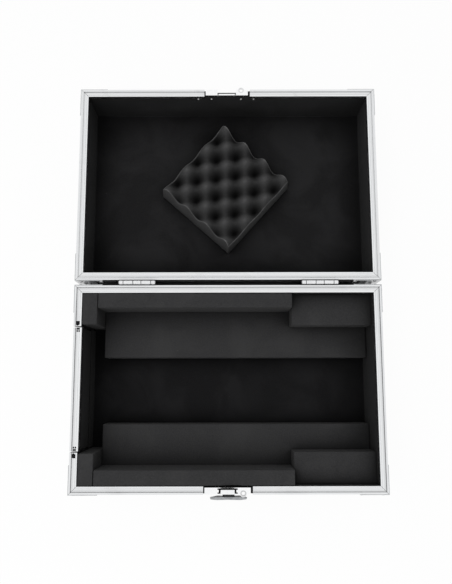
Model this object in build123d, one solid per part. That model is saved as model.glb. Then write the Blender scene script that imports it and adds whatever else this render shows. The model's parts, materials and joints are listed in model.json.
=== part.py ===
from build123d import *
import os
from math import cos, pi

# Flight case for disc jockey equipment, in millimetres. X runs to the right along the hinges,
# Y to the back and Z up. It is drawn open, with the lid turned back by half a turn, so that
# both rims face up in one plane. While the pieces are drawn that rim plane is z = 0 and the
# base is centred on y = 0. At the end they all move, so that the origin is at the bottom
# centre of the open case.

# Drawing aids
overcut = 5.0  # how far a cut runs past the face that it opens
everything = 500.0  # half of a cut that passes right through the case
overlap = 1.0  # how deep two shapes of one piece run into each other
touch = 0.01  # how near an edge's middle lies to the place that it is looked for

# Case, over the aluminium
case_width = 515.0
case_depth = 340.0
base_inner_depth = 106.0  # rim plane to lined floor
lid_inner_depth = 85.0
panel_thickness = 9.5
lining_thickness = 0.8

# Rim extrusions, where the two halves meet
rim_width = 13.0
skin = 1.5  # aluminium that lies over the panels
rim_leg = 20.0
rim_web = 4.0
rim_inner_leg = 8.0
rim_inner_skin = 1.2
rim_outer_round = 0.8
rim_inner_round = 1.1
rim_line_at = 10.4  # fine line beside the inner lip
rim_line_width = 0.5
rim_line_depth = 0.4
groove_at = 4.2  # middle of the groove in the base and of the tongue on the lid
groove_width = 2.0
groove_depth = 2.4
tongue_width = 1.2
tongue_height = 1.8
tongue_root = 1.0
closing_gap = 0.3  # between the rims when the lid is shut
mitre_gap = 0.3

# Aluminium angles on the edges
angle_leg = 30.0
angle_round = 1.2
angle_gap = 0.2

# Braces at the corners of the rim
brace_arm = 46.0
brace_thickness = 1.2
brace_corner_drop = 38.0
brace_neck_drop = 12.0
brace_neck_start = 20.0
brace_neck_end = 38.0
brace_tip_at = 43.0
brace_tip_drop = 33.0
brace_top = 1.5  # below the rim plane
brace_chamfer = 2.0
brace_rivets = [(8.0, 8.0), (12.0, 27.0), (42.5, 8.5)]  # along the arm and down

# Ball corners
ball_radius = 16.0
ball_inset = 11.0
ball_flange = 34.0
ball_flange_cut = 15.0
ball_flange_thickness = 1.2
ball_rivet_near = 7.5
ball_rivet_inset = 6.5

# Rivets
rivet_radius = 3.2
rivet_height = 1.7
rivet_end_radius = 2.0
rivet_end_height = 1.2

# Hinges
hinge_offset = 4.5  # pin axis behind the back face
hinge_places = [-152.9, 154.5]
hinge_length = 59.5
hinge_end_knuckle = 6.0
hinge_middle_knuckle = 12.6
hinge_barrel_radius = 3.7
hinge_pin_radius = 2.0
hinge_pin_head_radius = 3.2
hinge_pin_head = 0.8
hinge_leaf_height = 19.5
hinge_leaf_thickness = 1.5
hinge_leaf_top = 1.5  # below the rim plane
hinge_rivet_pitch = 22.0
hinge_rivet_drop = 12.5
knuckle_gap = 1.0
leaf_clearance = 0.4
running_clearance = 0.05

# Cable flap in the left side
flap_from_front = 66.0
flap_from_back = 69.0
flap_gap = 2.0
flap_lip = 1.1  # its rim stands this much further in
flap_pad_thickness = 4.5
flap_pad_gap = 0.5
flap_barrel_radius = 2.3
flap_pin_radius = 1.1
flap_pin_out = 2.0  # pin axis outside the laminate, beyond the leaf
flap_leaf_height = 16.0
flap_leaf_over_angle = 3.8  # above the bottom edge's angle
flap_leaf_thickness = 1.2
flap_hinge_inset = 8.0  # from each end of the opening
flap_knuckles = 9
flap_knuckle_neck = 2.2
catch_width = 6.6
catch_straight = 5.8
catch_point = 3.0
catch_hole_width = 2.3
catch_hole_length = 2.9
catch_bar = 0.8
catch_offset = 2.7  # of the pockets, from the groove
catch_tip_gap = 0.6
catch_from_groove = 0.3

# Butterfly latch on the front of the base, and its keeper on the lid
latch_middle = -1.5  # of the plates, their slots and the hook
rim_cut_half = 40.0
rim_cut_shift = 0.7  # to the right of the plates' middle
latch_plate_half = 37.1
latch_plate_drop = 62.0
latch_plate_round = 5.0
dish_plate = 1.2
dish_plate_setback = 0.3
dish_top_plate = 1.5
dish_depth = 11.0
dish_clearance = 0.2
pan_half = 29.0
pan_drop = 56.0
hook_slot_half = 16.25
hook_slot_drop = 5.0
spindle_drop = 34.0
spindle_radius = 3.5
cam_radius = 10.0
cam_throw = 3.0
cam_slack = 0.75
cam_side_slack = 0.5
hub_radius = 7.5
hub_gap = 1.0
collar_radius = 10.0  # around the hub, behind the wing
collar_back = 0.8
carriage_plate = 2.0
carriage_front = 5.5  # behind the rim face
carriage_top_drop = 12.0
carriage_height = 34.0
carriage_side_gap = 0.4
wing_half = 30.6
wing_back = 8.4  # in front of the rim face
wing_thickness = 4.6
wing_waist = 5.5
wing_lobe = 8.0
wing_lobe_at = 18.0
wing_end = 5.0
wing_end_round = 3.0
wing_tip_step = 2.0
wing_tip_thickness = 2.0
wing_tip_taper = 1.0
wing_back_taper = 11.0
wing_front_taper = 10.0
hook_half = 11.0
hook_side_gap = 0.4
cheek_gap = 0.5  # from the hook to the plate beside it
cheek_drop = 12.0
hook_plate = 2.0
hook_front = 2.2
hook_nose_reach = 7.2
hook_nose_top = 12.4  # above the rim plane, latch undone
hook_pivot_drop = 16.0
hook_knuckle_radius = 2.2
hook_pin_radius = 1.25
hook_bend_round = 1.6
ear_width = 3.0
ear_reach = 2.2
ear_half = 3.4
keeper_plate_drop = 32.0
keeper_pan_half = 29.0
keeper_pan_drop = 26.0
keeper_slot_depth = 5.9
keeper_strip = 0.5  # of the top plate, in front of the ledge's bar
keeper_gap = 2.0  # around that bar
keeper_ledge = 2.3
latch_rivet_side = 32.5
latch_rivet_top = 14.0
latch_rivet_foot = 8.0  # above the plate's lower edge
keeper_rivet_top = 10.0
keeper_rivet_drop = 25.0
tail_places = [-46.2, -23.8, 28.4, 51.9]
tail_drop = 4.5  # below the rim's inner leg

# Padlock eyes, one over the other when the case is shut
eye_at = 23.7
eye_in = 1.8  # behind the rim face
eye_radius = 2.8
eye_tab_radius = 5.7

# Carrying handle on the right side
handle_plate_half = 72.0
handle_plate_height = 22.0
handle_over_angle = 37.8  # its pivots, above the bottom edge's angle
handle_out = 6.0
bail_radius = 3.5
bail_half = 44.0
bail_fall = 34.0
bail_bend = 7.0
ear_start = 51.7
ear_end = 58.0
ear_wall = 1.7
grip_half = 33.0
grip_radius = 6.5
grip_bore_clearance = 0.1
grip_round = 1.5
handle_plate_round = 6.0
bail_end_inset = 0.5
ear_root = 0.2
handle_rivet_at = 65.0
handle_rivet_spread = 11.0

# Rubber feet
foot_radius = 12.0
foot_tip_radius = 11.0
foot_height = 9.0
foot_recess_radius = 4.6
foot_recess = 4.0
foot_in_from_side = 67.5
foot_in_from_back = 15.0

# Foam in the base
foam_gap = 0.4  # between a block and what stands beside it
lower_foam_height = 40.0
step_foam_height = 40.0
corner_foam_length = 25.5
rear_corner_foam_depth = 52.6
front_corner_foam_depth = 51.1
long_foam_depth = 25.2
long_foam_end = 107.5  # right-hand end, from the middle of the case
rear_lower_foam_depth = 106.8
front_lower_foam_depth = 94.8
lower_foam_left_gap = 1.0  # from the corner block
rear_lower_foam_right_gap = 2.3
front_lower_foam_right_gap = 1.3
rear_step_foam_depth = 53.8
front_step_foam_depth = 52.0

# Egg-crate foam in the lid
crate_length = 158.0
crate_width = 162.0
crate_pitch_along = 23.0  # pit to peak
crate_pitch_across = 26.7
crate_middle = 38.0
crate_relief = 15.0
crate_pit_along = 22.2  # one pit, from the middle
crate_pit_across = 1.1
crate_turn = -41.85
crate_x = -4.0
crate_beyond_centre = 7.8
crate_steps_per_pitch = 5

inner_face = skin + panel_thickness
lining_face = inner_face + lining_thickness
base_bottom = -(base_inner_depth + lining_thickness + panel_thickness)
lid_bottom = -(lid_inner_depth + lining_thickness + panel_thickness)
base_angle_top = base_bottom - skin + angle_leg
flap_drop = -base_angle_top - flap_leaf_over_angle - flap_leaf_height
handle_drop = -base_angle_top - handle_over_angle
upper_foam_height = base_inner_depth - lower_foam_height
hinge_y = case_depth / 2 + hinge_offset
hinge_z = closing_gap / 2
lid_centre = 2 * hinge_y


def block(x0, x1, y0, y1, z0, z1):
    """Box between two corners."""
    centre = Pos((x0 + x1) / 2, (y0 + y1) / 2, (z0 + z1) / 2)
    return centre * Box(x1 - x0, y1 - y0, z1 - z0)


def rod_x(radius, x0, x1, y, z):
    """Round bar along X."""
    return Pos((x0 + x1) / 2, y, z) * Rot(0, 90, 0) * Cylinder(radius, x1 - x0)


def rod_y(radius, y0, y1, x, z):
    """Round bar along Y."""
    return Pos(x, (y0 + y1) / 2, z) * Rot(90, 0, 0) * Cylinder(radius, y1 - y0)


def plan_prism(points, z0, z1):
    """Outline seen from above, given height."""
    outline = Polyline([(x, y, z0) for x, y in points], close=True)
    return extrude(make_face(outline), amount=z1 - z0, dir=(0, 0, 1))


def front_prism(points, y0, y1):
    """Outline seen from the front, given depth."""
    outline = Polyline([(x, y0, z) for x, z in points], close=True)
    return extrude(make_face(outline), amount=y1 - y0, dir=(0, 1, 0))


def bar(section, length):
    """Bar along X with a section given as (inwards, up)."""
    outline = Polyline([(-length / 2, s, z) for s, z in section], close=True)
    return extrude(make_face(outline), amount=length, dir=(1, 0, 0))


def mitred(shape, length, reach):
    """Cuts both ends of a bar at 45 degrees, as seen from above."""
    half = length / 2 - mitre_gap
    points = [
        (-half - overcut, -overcut),
        (half + overcut, -overcut),
        (half - reach, reach),
        (-half + reach, reach),
    ]
    return shape & plan_prism(points, -everything, everything)


def side(name, centre_y=0.0):
    """Place of one side of a half: its own X runs along it, its own Y points inwards."""
    turns = {"front": 0, "right": 90, "back": 180, "left": -90}
    out_x = {"front": 0, "right": case_width / 2, "back": 0, "left": -case_width / 2}
    out_y = {"front": -case_depth / 2, "right": 0, "back": case_depth / 2, "left": 0}
    return Pos(out_x[name], centre_y + out_y[name], 0) * Rot(0, 0, turns[name])


def corners(centre_y=0.0):
    """Places of the four upright corners, each with its own X and Y pointing inwards."""
    places = []
    for x, y, turn in [(-1, -1, 0), (1, -1, 90), (1, 1, 180), (-1, 1, 270)]:
        at = Pos(x * case_width / 2, centre_y + y * case_depth / 2, 0)
        places.append(at * Rot(0, 0, turn))
    return places


def rivet(radius=rivet_radius, height=rivet_height):
    """Domed rivet head that stands on the XY plane."""
    sphere = (radius**2 + height**2) / (2 * height)
    dome = Pos(0, 0, height - sphere) * Sphere(sphere)
    return dome & block(-radius, radius, -radius, radius, 0, height)


def group(shapes):
    """Separate solids that share one node."""
    solids = [solid for shape in shapes for solid in shape.solids()]
    return Compound(children=solids)


# Rim extrusions


def rim_bar(length, width=rim_width, tongue=False):
    """Rim extrusion with its groove or tongue, before its ends are cut."""
    section = [
        (0, -rim_leg),
        (0, 0),
        (width, 0),
        (width, -rim_inner_leg),
        (width - rim_inner_skin, -rim_inner_leg),
        (width - rim_inner_skin, -rim_web),
        (skin, -rim_web),
        (skin, -rim_leg),
    ]
    shape = bar(section, length)
    top = [e for e in shape.edges().filter_by(Axis.X) if abs(e.center().Z) < touch]
    shape = fillet([e for e in top if e.center().Y < touch], rim_outer_round)
    top = [e for e in shape.edges().filter_by(Axis.X) if abs(e.center().Z) < touch]
    shape = fillet([e for e in top if e.center().Y > width - touch], rim_inner_round)
    line_from = rim_line_at - rim_line_width / 2
    line_to = rim_line_at + rim_line_width / 2
    shape -= block(-length, length, line_from, line_to, -rim_line_depth, overcut)
    if tongue:
        half = tongue_width / 2
        edge = tongue_width / 4
        shape += bar(
            [
                (groove_at - half, -tongue_root),
                (groove_at - half, tongue_height - edge),
                (groove_at - half + edge, tongue_height),
                (groove_at + half - edge, tongue_height),
                (groove_at + half, tongue_height - edge),
                (groove_at + half, -tongue_root),
            ],
            length,
        )
    else:
        half = groove_width / 2
        low, high = groove_at - half, groove_at + half
        shape -= block(-length, length, low, high, -groove_depth, overcut)
    return shape


def rim_side(length, tongue=False):
    return mitred(rim_bar(length, tongue=tongue), length, angle_leg + overcut)


def slab(x0, x1):
    """Everything between two places along X."""
    return block(x0, x1, -everything, everything, -everything, everything)


def latch_cut(way):
    middle = way * (latch_middle + rim_cut_shift)
    return slab(middle - rim_cut_half, middle + rim_cut_half)


def base_rim_front():
    return side("front") * (rim_side(case_width) - latch_cut(1))


def base_rim_back():
    return side("back") * rim_side(case_width)


def base_rim_right():
    return side("right") * rim_side(case_depth)


def catch_pocket(end, way):
    """Pointed pocket in the web of a fixed rim, aimed at the flap."""
    low = groove_at - catch_width / 2 + catch_offset
    high = low + catch_width
    straight_end = end + way * (catch_point + catch_straight)
    point = [
        (straight_end, low),
        (end + way * catch_point, low),
        (end + way * catch_tip_gap, (low + high) / 2),
        (end + way * catch_point, high),
        (straight_end, high),
    ]
    return plan_prism(point, -rim_web, overcut)


def flap_from():
    """Both ends of the flap opening, along the left side's own X."""
    return -case_depth / 2 + flap_from_back, case_depth / 2 - flap_from_front


def base_rim_left():
    start, end = flap_from()
    rim = rim_side(case_depth) - slab(start, end)
    rim -= catch_pocket(start, -1)
    rim -= catch_pocket(end, 1)
    return side("left") * rim


def lid_rim_front():
    return side("back", lid_centre) * (rim_side(case_width, tongue=True) - latch_cut(-1))


def lid_rim_back():
    return side("front", lid_centre) * rim_side(case_width, tongue=True)


def lid_rim_left():
    return side("left", lid_centre) * rim_side(case_depth, tongue=True)


def lid_rim_right():
    return side("right", lid_centre) * rim_side(case_depth, tongue=True)


# Panels and linings


def wall(length, bottom):
    return block(-length / 2, length / 2, skin, inner_face, bottom, -rim_web)


def long_wall(bottom):
    return wall(case_width - 2 * skin, bottom)


def short_wall(bottom):
    return wall(case_depth - 2 * inner_face, bottom)


def latch_wall(bottom, opening_half, opening_drop, way):
    """Front wall that reaches up between the cut rims and is open behind the dish."""
    x0 = way * latch_middle - latch_plate_half
    x1 = way * latch_middle + latch_plate_half
    raised = block(x0, x1, skin, inner_face, -rim_web, -dish_top_plate)
    half = opening_half + dish_clearance
    low = -opening_drop - dish_clearance
    opening = block(-half, half, 0, everything, low, everything)
    return long_wall(bottom) + raised - opening


def level_panel(bottom, centre_y):
    half_x = case_width / 2 - inner_face
    half_y = case_depth / 2 - inner_face
    top = bottom + panel_thickness
    return block(-half_x, half_x, centre_y - half_y, centre_y + half_y, bottom, top)


def open_box(bottom, centre_y):
    """Lining on the floor and the four walls of one half."""
    half_x = case_width / 2 - inner_face
    half_y = case_depth / 2 - inner_face
    low = bottom + panel_thickness
    outer = block(-half_x, half_x, centre_y - half_y, centre_y + half_y, low, -rim_web)
    in_x = half_x - lining_thickness
    in_y = half_y - lining_thickness
    top = low + lining_thickness
    inner = block(-in_x, in_x, centre_y - in_y, centre_y + in_y, top, overcut)
    return outer - inner


def flap_hole():
    start, end = flap_from()
    low = -flap_drop - flap_gap / 2
    return side("left") * block(start, end, -everything, rim_width, low, everything)


def base_left_wall():
    return side("left") * short_wall(base_bottom) - flap_hole()


def base_lining():
    start, end = flap_from()
    sill_pad = side("left") * block(
        start,
        end,
        inner_face,
        inner_face + flap_pad_thickness,
        base_bottom + panel_thickness,
        -flap_drop - flap_gap / 2,
    )
    return open_box(base_bottom, 0) - flap_hole() + sill_pad


# Aluminium angles, ball corners, braces and feet


def edge_angle(length, bottom):
    """Angle that wraps a bottom edge, mitred at both ends."""
    low = bottom - skin
    section = [
        (0, low + angle_leg),
        (0, low),
        (angle_leg, low),
        (angle_leg, bottom),
        (skin, bottom),
        (skin, low + angle_leg),
    ]
    shape = bar(section, length)
    corner = [
        e
        for e in shape.edges().filter_by(Axis.X)
        if abs(e.center().Y) < touch and abs(e.center().Z - low) < touch
    ]
    shape = fillet(corner, angle_round)
    return mitred(shape, length, angle_leg + overcut)


def edges_long(bottom, centre_y):
    angle = edge_angle(case_width, bottom)
    return group([side("front", centre_y) * angle, side("back", centre_y) * angle])


def edges_short(bottom, centre_y):
    angle = edge_angle(case_depth, bottom)
    return group([side("left", centre_y) * angle, side("right", centre_y) * angle])


def corner_angles(bottom, centre_y):
    points = [
        (0, 0),
        (angle_leg, 0),
        (angle_leg, skin),
        (skin, skin),
        (skin, angle_leg),
        (0, angle_leg),
    ]
    top = -rim_leg - angle_gap
    low = bottom - skin + angle_leg + angle_gap
    shape = plan_prism(points, low, top)
    outer = [
        e
        for e in shape.edges().filter_by(Axis.Z)
        if abs(e.center().X) < touch and abs(e.center().Y) < touch
    ]
    shape = fillet(outer, angle_round)
    return group([place * shape for place in corners(centre_y)])


def ball_corner():
    """Pressed corner with a ball and three flanges; the case's own corner is at 0, 0, 0."""
    t = ball_flange_thickness
    far = ball_flange
    cut = ball_flange - ball_flange_cut
    outline = [(-t, -t), (far, -t), (far, cut), (cut, far), (-t, far)]
    lower = plan_prism(outline, -t, 0)
    front = Rot(90, 0, 0) * plan_prism(outline, 0, t)
    left = Rot(0, -90, 0) * plan_prism([(y, x) for x, y in outline], 0, t)
    ball = Pos(ball_inset, ball_inset, ball_inset) * Sphere(ball_radius)
    ball -= block(0, everything, 0, everything, 0, everything)
    return lower + front + left + ball


def ball_corners(bottom, centre_y):
    shape = ball_corner()
    drop = Pos(0, 0, bottom - skin)
    return group([place * drop * shape for place in corners(centre_y)])


def corner_brace():
    """Folded plate around a rim corner, with a pointed barb under the end of each arm."""
    t = brace_thickness
    arm = [
        (-t, -brace_top),
        (brace_arm, -brace_top),
        (brace_arm, -brace_neck_drop),
        (brace_tip_at, -brace_tip_drop),
        (brace_neck_end, -brace_neck_drop),
        (brace_neck_start + brace_chamfer, -brace_neck_drop),
        (brace_neck_start, -brace_corner_drop + brace_chamfer),
        (brace_neck_start - brace_chamfer, -brace_corner_drop),
        (-t, -brace_corner_drop),
    ]
    front = front_prism(arm, -t, 0)
    return front + mirror(Rot(0, 0, 90) * front, about=Plane.YZ)


def corner_braces(centre_y):
    shape = corner_brace()
    return group([place * shape for place in corners(centre_y)])


def foot():
    cone = Pos(0, 0, -foot_height / 2) * Cone(foot_tip_radius, foot_radius, foot_height)
    recess = Pos(0, 0, -foot_height) * Cylinder(foot_recess_radius, 2 * foot_recess)
    return cone - recess


def foot_centres():
    x = case_width / 2 - foot_in_from_side
    y = case_depth / 2 - foot_in_from_back
    return [(-x, -y), (x, -y), (x, y), (-x, y)]


def base_feet():
    shape = foot()
    return group([Pos(x, y, base_bottom - skin) * shape for x, y in foot_centres()])


# Hinges


def hinge_stretches():
    """Where the base's and the lid's knuckles lie along one hinge."""
    half = hinge_length / 2
    inner = half - hinge_end_knuckle
    middle = hinge_middle_knuckle / 2
    base = [(-half, -inner), (-middle, middle), (inner, half)]
    lid = [(-inner + knuckle_gap, -middle - knuckle_gap)]
    lid.append((middle + knuckle_gap, inner - knuckle_gap))
    return base, lid


def knuckle_row(stretches, radius):
    row = [rod_x(radius, x0, x1, hinge_y, hinge_z) for x0, x1 in stretches]
    whole = row[0]
    for knuckle in row[1:]:
        whole += knuckle
    return whole


def hinge_leaf(own, other, face_y, way):
    """Leaf on the face at face_y; way is the direction from that face to the pin."""
    half = hinge_length / 2
    y0, y1 = sorted((face_y, face_y + way * hinge_leaf_thickness))
    leaf = block(-half, half, y0, y1, -hinge_leaf_height, -hinge_leaf_top)
    leaf += knuckle_row(own, hinge_barrel_radius)
    other_wide = [(x0 - knuckle_gap, x1 + knuckle_gap) for x0, x1 in other]
    leaf -= knuckle_row(other_wide, hinge_barrel_radius + leaf_clearance)
    bore = hinge_pin_radius + running_clearance
    return leaf - rod_x(bore, -hinge_length, hinge_length, hinge_y, hinge_z)


def at_hinges(shape):
    return group([Pos(x, 0, 0) * shape for x in hinge_places])


def hinge_base_leaves():
    base, lid = hinge_stretches()
    return at_hinges(hinge_leaf(base, lid, case_depth / 2, 1))


def hinge_lid_leaves():
    base, lid = hinge_stretches()
    return at_hinges(hinge_leaf(lid, base, lid_centre - case_depth / 2, -1))


def hinge_pins():
    half = hinge_length / 2
    head = hinge_pin_head_radius
    pin = rod_x(hinge_pin_radius, -half, half, hinge_y, hinge_z)
    pin += rod_x(head, half, half + hinge_pin_head, hinge_y, hinge_z)
    pin += rod_x(head, -half - hinge_pin_head, -half, hinge_y, hinge_z)
    return at_hinges(pin)


# Cable flap


def flap_ends():
    start, end = flap_from()
    return start + flap_gap, end - flap_gap


def flap_panel():
    start, end = flap_ends()
    bottom = -flap_drop + flap_gap / 2
    return side("left") * block(start, end, skin, inner_face, bottom, -rim_web)


def flap_rim():
    start, end = flap_ends()
    rim = rim_bar(2 * case_depth, width=rim_width + flap_lip)
    rim = rim & slab(start, end)
    first = groove_at + groove_width / 2 + catch_from_groove
    last = first + 2 * catch_hole_width + catch_bar
    near = (catch_bar, catch_bar + catch_hole_length)
    far = (near[1] + catch_bar, near[1] + catch_bar + catch_hole_length)
    holes = [(near, first, last)]
    holes.append((far, first, first + catch_hole_width))
    holes.append((far, last - catch_hole_width, last))
    for (low, high), edge, other_edge in holes:
        rim -= block(start + low, start + high, edge, other_edge, -rim_web, overcut)
        rim -= block(end - high, end - low, edge, other_edge, -rim_web, overcut)
    return side("left") * rim


def flap_lining():
    start, end = flap_ends()
    pad = block(
        start + flap_pad_gap,
        end - flap_pad_gap,
        inner_face,
        inner_face + flap_pad_thickness,
        -flap_drop + flap_gap / 2,
        -rim_inner_leg - flap_pad_gap,
    )
    return side("left") * pad


def flap_pin_place():
    """Distance inwards and height of the flap's pin."""
    return skin - flap_leaf_thickness - flap_pin_out, -flap_drop


def flap_hinge_ends():
    start, end = flap_from()
    return start + flap_hinge_inset, end - flap_hinge_inset


def flap_leaf(first, way):
    """One leaf of the long hinge; way is 1 above the pin and -1 below it."""
    s, z = flap_pin_place()
    low, high = flap_hinge_ends()
    pitch = (high - low) / flap_knuckles
    z0, z1 = sorted((z + way * flap_gap / 2, z + way * flap_leaf_height))
    front = skin - flap_leaf_thickness
    leaf = block(low, high, front, skin, z0, z1)
    for n in range(flap_knuckles):
        x0 = low + n * pitch + knuckle_gap / 2
        x1 = low + (n + 1) * pitch - knuckle_gap / 2
        if n % 2 == first:
            n0, n1 = sorted((z, z + way * flap_knuckle_neck))
            leaf += block(x0, x1, s, skin, n0, n1) + rod_x(flap_barrel_radius, x0, x1, s, z)
    bore = flap_pin_radius + running_clearance
    for n in range(flap_knuckles):
        x0 = low + n * pitch - knuckle_gap / 2
        x1 = low + (n + 1) * pitch + knuckle_gap / 2
        if n % 2 != first:
            leaf -= rod_x(flap_barrel_radius + leaf_clearance, x0, x1, s, z)
    return side("left") * (leaf - rod_x(bore, low - overcut, high + overcut, s, z))


def flap_hinge_pin():
    s, z = flap_pin_place()
    low, high = flap_hinge_ends()
    return side("left") * rod_x(flap_pin_radius, low, high, s, z)


# Butterfly latch


def hook_slot(eye_way):
    """Both ends of the hook's slot; eye_way is 1 in the base and -1 in the turned lid."""
    middle = eye_way * latch_middle
    return middle - hook_slot_half, middle + hook_slot_half


def dish(plate_drop, pan_width_half, pan_low, slot_depth, eye_way):
    """Plate on the front, plate over the rim gap with its padlock eye, and the pan."""
    face = dish_plate_setback
    plate_x0 = eye_way * latch_middle - latch_plate_half
    plate_x1 = eye_way * latch_middle + latch_plate_half
    shape = block(plate_x0, plate_x1, face, skin, -plate_drop, 0)
    lower = [
        e
        for e in shape.edges().filter_by(Axis.Y)
        if abs(e.center().Z + plate_drop) < touch
    ]
    shape = fillet(lower, latch_plate_round)
    shape += block(plate_x0, plate_x1, face, dish_depth, -dish_top_plate, 0)
    eye = Pos(eye_way * eye_at, eye_in, -dish_top_plate / 2)
    shape += eye * Cylinder(eye_tab_radius, dish_top_plate)
    shape += block(-pan_width_half, pan_width_half, skin, dish_depth, -pan_low, -dish_top_plate)
    inner = pan_width_half - dish_plate
    back = dish_depth - dish_plate
    low = -pan_low + dish_plate
    shape -= block(-inner, inner, -overcut, back, low, -dish_top_plate)
    slot_x0, slot_x1 = hook_slot(eye_way)
    slot = block(slot_x0, slot_x1, -overcut, slot_depth, -hook_slot_drop, overcut)
    return shape - slot - eye * Cylinder(eye_radius, 2 * dish_top_plate)


def latch_dish():
    shape = dish(latch_plate_drop, pan_half, pan_drop, dish_depth - dish_plate, 1)
    cheek = hook_half + cheek_gap
    left = -pan_half, latch_middle - cheek
    right = latch_middle + cheek, eye_at - eye_tab_radius
    for x0, x1 in (left, right):
        shape += block(x0, x1, dish_plate_setback, skin, -cheek_drop, 0)
    bore = spindle_radius + running_clearance
    return side("front") * (shape - rod_y(bore, dish_depth / 2, everything, 0, -spindle_drop))


def keeper_dish():
    shape = dish(keeper_plate_drop, keeper_pan_half, keeper_pan_drop, keeper_slot_depth, -1)
    x0, x1 = hook_slot(-1)
    start = keeper_slot_depth + keeper_strip
    shape -= block(x0, x1, start, everything, -dish_top_plate, overcut)
    return side("back", lid_centre) * shape


def keeper_plate():
    """Ledge under the top plate, and the bar that stands on it in the plate's notch."""
    x0, x1 = hook_slot(-1)
    low = -dish_top_plate - keeper_ledge
    start = keeper_slot_depth
    ledge = block(x0, x1, start, dish_depth - dish_plate, low, -dish_top_plate)
    bar_start = start + keeper_strip + keeper_gap
    ledge += block(x0 + keeper_gap, x1 - keeper_gap, bar_start, dish_depth, -dish_top_plate, 0)
    return side("back", lid_centre) * ledge


def latch_wing():
    """Wing, hub, spindle and cam, which turn together."""
    front = -wing_back - wing_thickness
    tip_back = -wing_back - wing_tip_step
    tip_front = tip_back - wing_tip_thickness
    bow = [
        (-wing_half, tip_back),
        (-wing_half + wing_back_taper, -wing_back),
        (wing_half - wing_back_taper, -wing_back),
        (wing_half, tip_back),
        (wing_half - wing_tip_taper, tip_front),
        (wing_half - wing_front_taper, front),
        (-wing_half + wing_front_taper, front),
        (-wing_half + wing_tip_taper, tip_front),
    ]
    z = -spindle_drop
    lobes = [
        (0, z + wing_waist),
        (wing_lobe_at, z + wing_lobe),
        (wing_half, z + wing_end),
        (wing_half, z - wing_end),
        (wing_lobe_at, z - wing_lobe),
        (0, z - wing_waist),
        (-wing_lobe_at, z - wing_lobe),
        (-wing_half, z - wing_end),
        (-wing_half, z + wing_end),
        (-wing_lobe_at, z + wing_lobe),
    ]
    outline = front_prism(lobes, front - overlap, 0)
    outline = fillet(outline.edges().filter_by(Axis.Y), wing_end_round)
    wing = plan_prism(bow, z - wing_half, z + wing_half) & outline
    wing += rod_y(hub_radius, -wing_back - overlap, carriage_front - hub_gap, 0, z)
    wing += rod_y(collar_radius, -wing_back - overlap, collar_back, 0, z)
    wing += rod_y(spindle_radius, 0, dish_depth, 0, z)
    back = carriage_front + carriage_plate
    wing += rod_y(cam_radius, carriage_front, back, 0, z + cam_throw)
    return side("front") * wing


def latch_carriage():
    """Plate that the cam moves up and down, with the pin that the hook tilts on."""
    half = pan_half - dish_plate - carriage_side_gap
    back = carriage_front + carriage_plate
    low = -carriage_top_drop - carriage_height
    shape = block(-half, half, carriage_front, back, low, -carriage_top_drop)
    window_half = cam_radius + cam_throw + cam_side_slack
    middle = -spindle_drop + cam_throw
    reach = cam_radius + cam_slack
    shape -= block(-window_half, window_half, 0, everything, middle - reach, middle + reach)
    s = hook_front + hook_plate / 2
    z = -hook_pivot_drop
    inner = hook_half + hook_side_gap
    for way in (-1, 1):
        x0, x1 = sorted((latch_middle + way * inner, latch_middle + way * (inner + ear_width)))
        shape += block(x0, x1, s - ear_reach, carriage_front, z - ear_half, z + ear_half)
    x0 = latch_middle - inner - overlap
    x1 = latch_middle + inner + overlap
    return side("front") * (shape + rod_x(hook_pin_radius, x0, x1, s, z))


def latch_hook():
    back = hook_front + hook_plate
    low = hook_nose_top - hook_plate
    z = -hook_pivot_drop
    x0 = latch_middle - hook_half
    x1 = latch_middle + hook_half
    nose_end = hook_front + hook_nose_reach
    shape = block(x0, x1, hook_front, back, z, hook_nose_top)
    shape += block(x0, x1, hook_front, nose_end, low, hook_nose_top)
    bend = [
        e
        for e in shape.edges().filter_by(Axis.X)
        if abs(e.center().Y - hook_front) < touch
        and abs(e.center().Z - hook_nose_top) < touch
    ]
    shape = fillet(bend, hook_bend_round)
    middle = hook_front + hook_plate / 2
    shape += rod_x(hook_knuckle_radius, x0, x1, middle, z)
    bore = hook_pin_radius + running_clearance
    return side("front") * (shape - rod_x(bore, -everything, everything, middle, z))


# Carrying handle


def handle_plate():
    top = -handle_drop + handle_plate_height / 2
    low = -handle_drop - handle_plate_height / 2
    shape = block(-handle_plate_half, handle_plate_half, 0, skin, low, top)
    shape = fillet(shape.edges().filter_by(Axis.Y), handle_plate_round)
    outer = bail_radius + ear_wall
    bore = bail_radius + running_clearance
    for way in (-1, 1):
        x0, x1 = sorted((way * ear_start, way * ear_end))
        ear = rod_x(outer, x0, x1, -handle_out, -handle_drop)
        z0 = -handle_drop - outer
        ear += block(x0, x1, -handle_out, ear_root, z0, z0 + 2 * outer)
        shape += ear
    cut = rod_x(bore, -everything, everything, -handle_out, -handle_drop)
    return side("right") * (shape - cut)


def handle_bail():
    top = -handle_drop
    low = top - bail_fall
    stub = ear_end - bail_end_inset
    corner_points = [
        (stub, top),
        (bail_half, top),
        (bail_half, low),
        (-bail_half, low),
        (-bail_half, top),
        (-stub, top),
    ]
    points = [(x, -handle_out, z) for x, z in corner_points]
    route = FilletPolyline(points, radius=bail_bend)
    start = Plane(origin=points[0], x_dir=(0, 1, 0), z_dir=(-1, 0, 0))
    return side("right") * sweep(start * Circle(bail_radius), path=route)


def handle_grip():
    low = -handle_drop - bail_fall
    sleeve = rod_x(grip_radius, -grip_half, grip_half, -handle_out, low)
    sleeve = fillet(sleeve.edges().filter_by(GeomType.CIRCLE), grip_round)
    bore = bail_radius + grip_bore_clearance
    return side("right") * (sleeve - rod_x(bore, -everything, everything, -handle_out, low))


# Rivets


def outwards(x, z, proud):
    """Place of a rivet on a side, at x along it, z high and proud of the rim face."""
    return Pos(x, -proud, z) * Rot(90, 0, 0)


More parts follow.
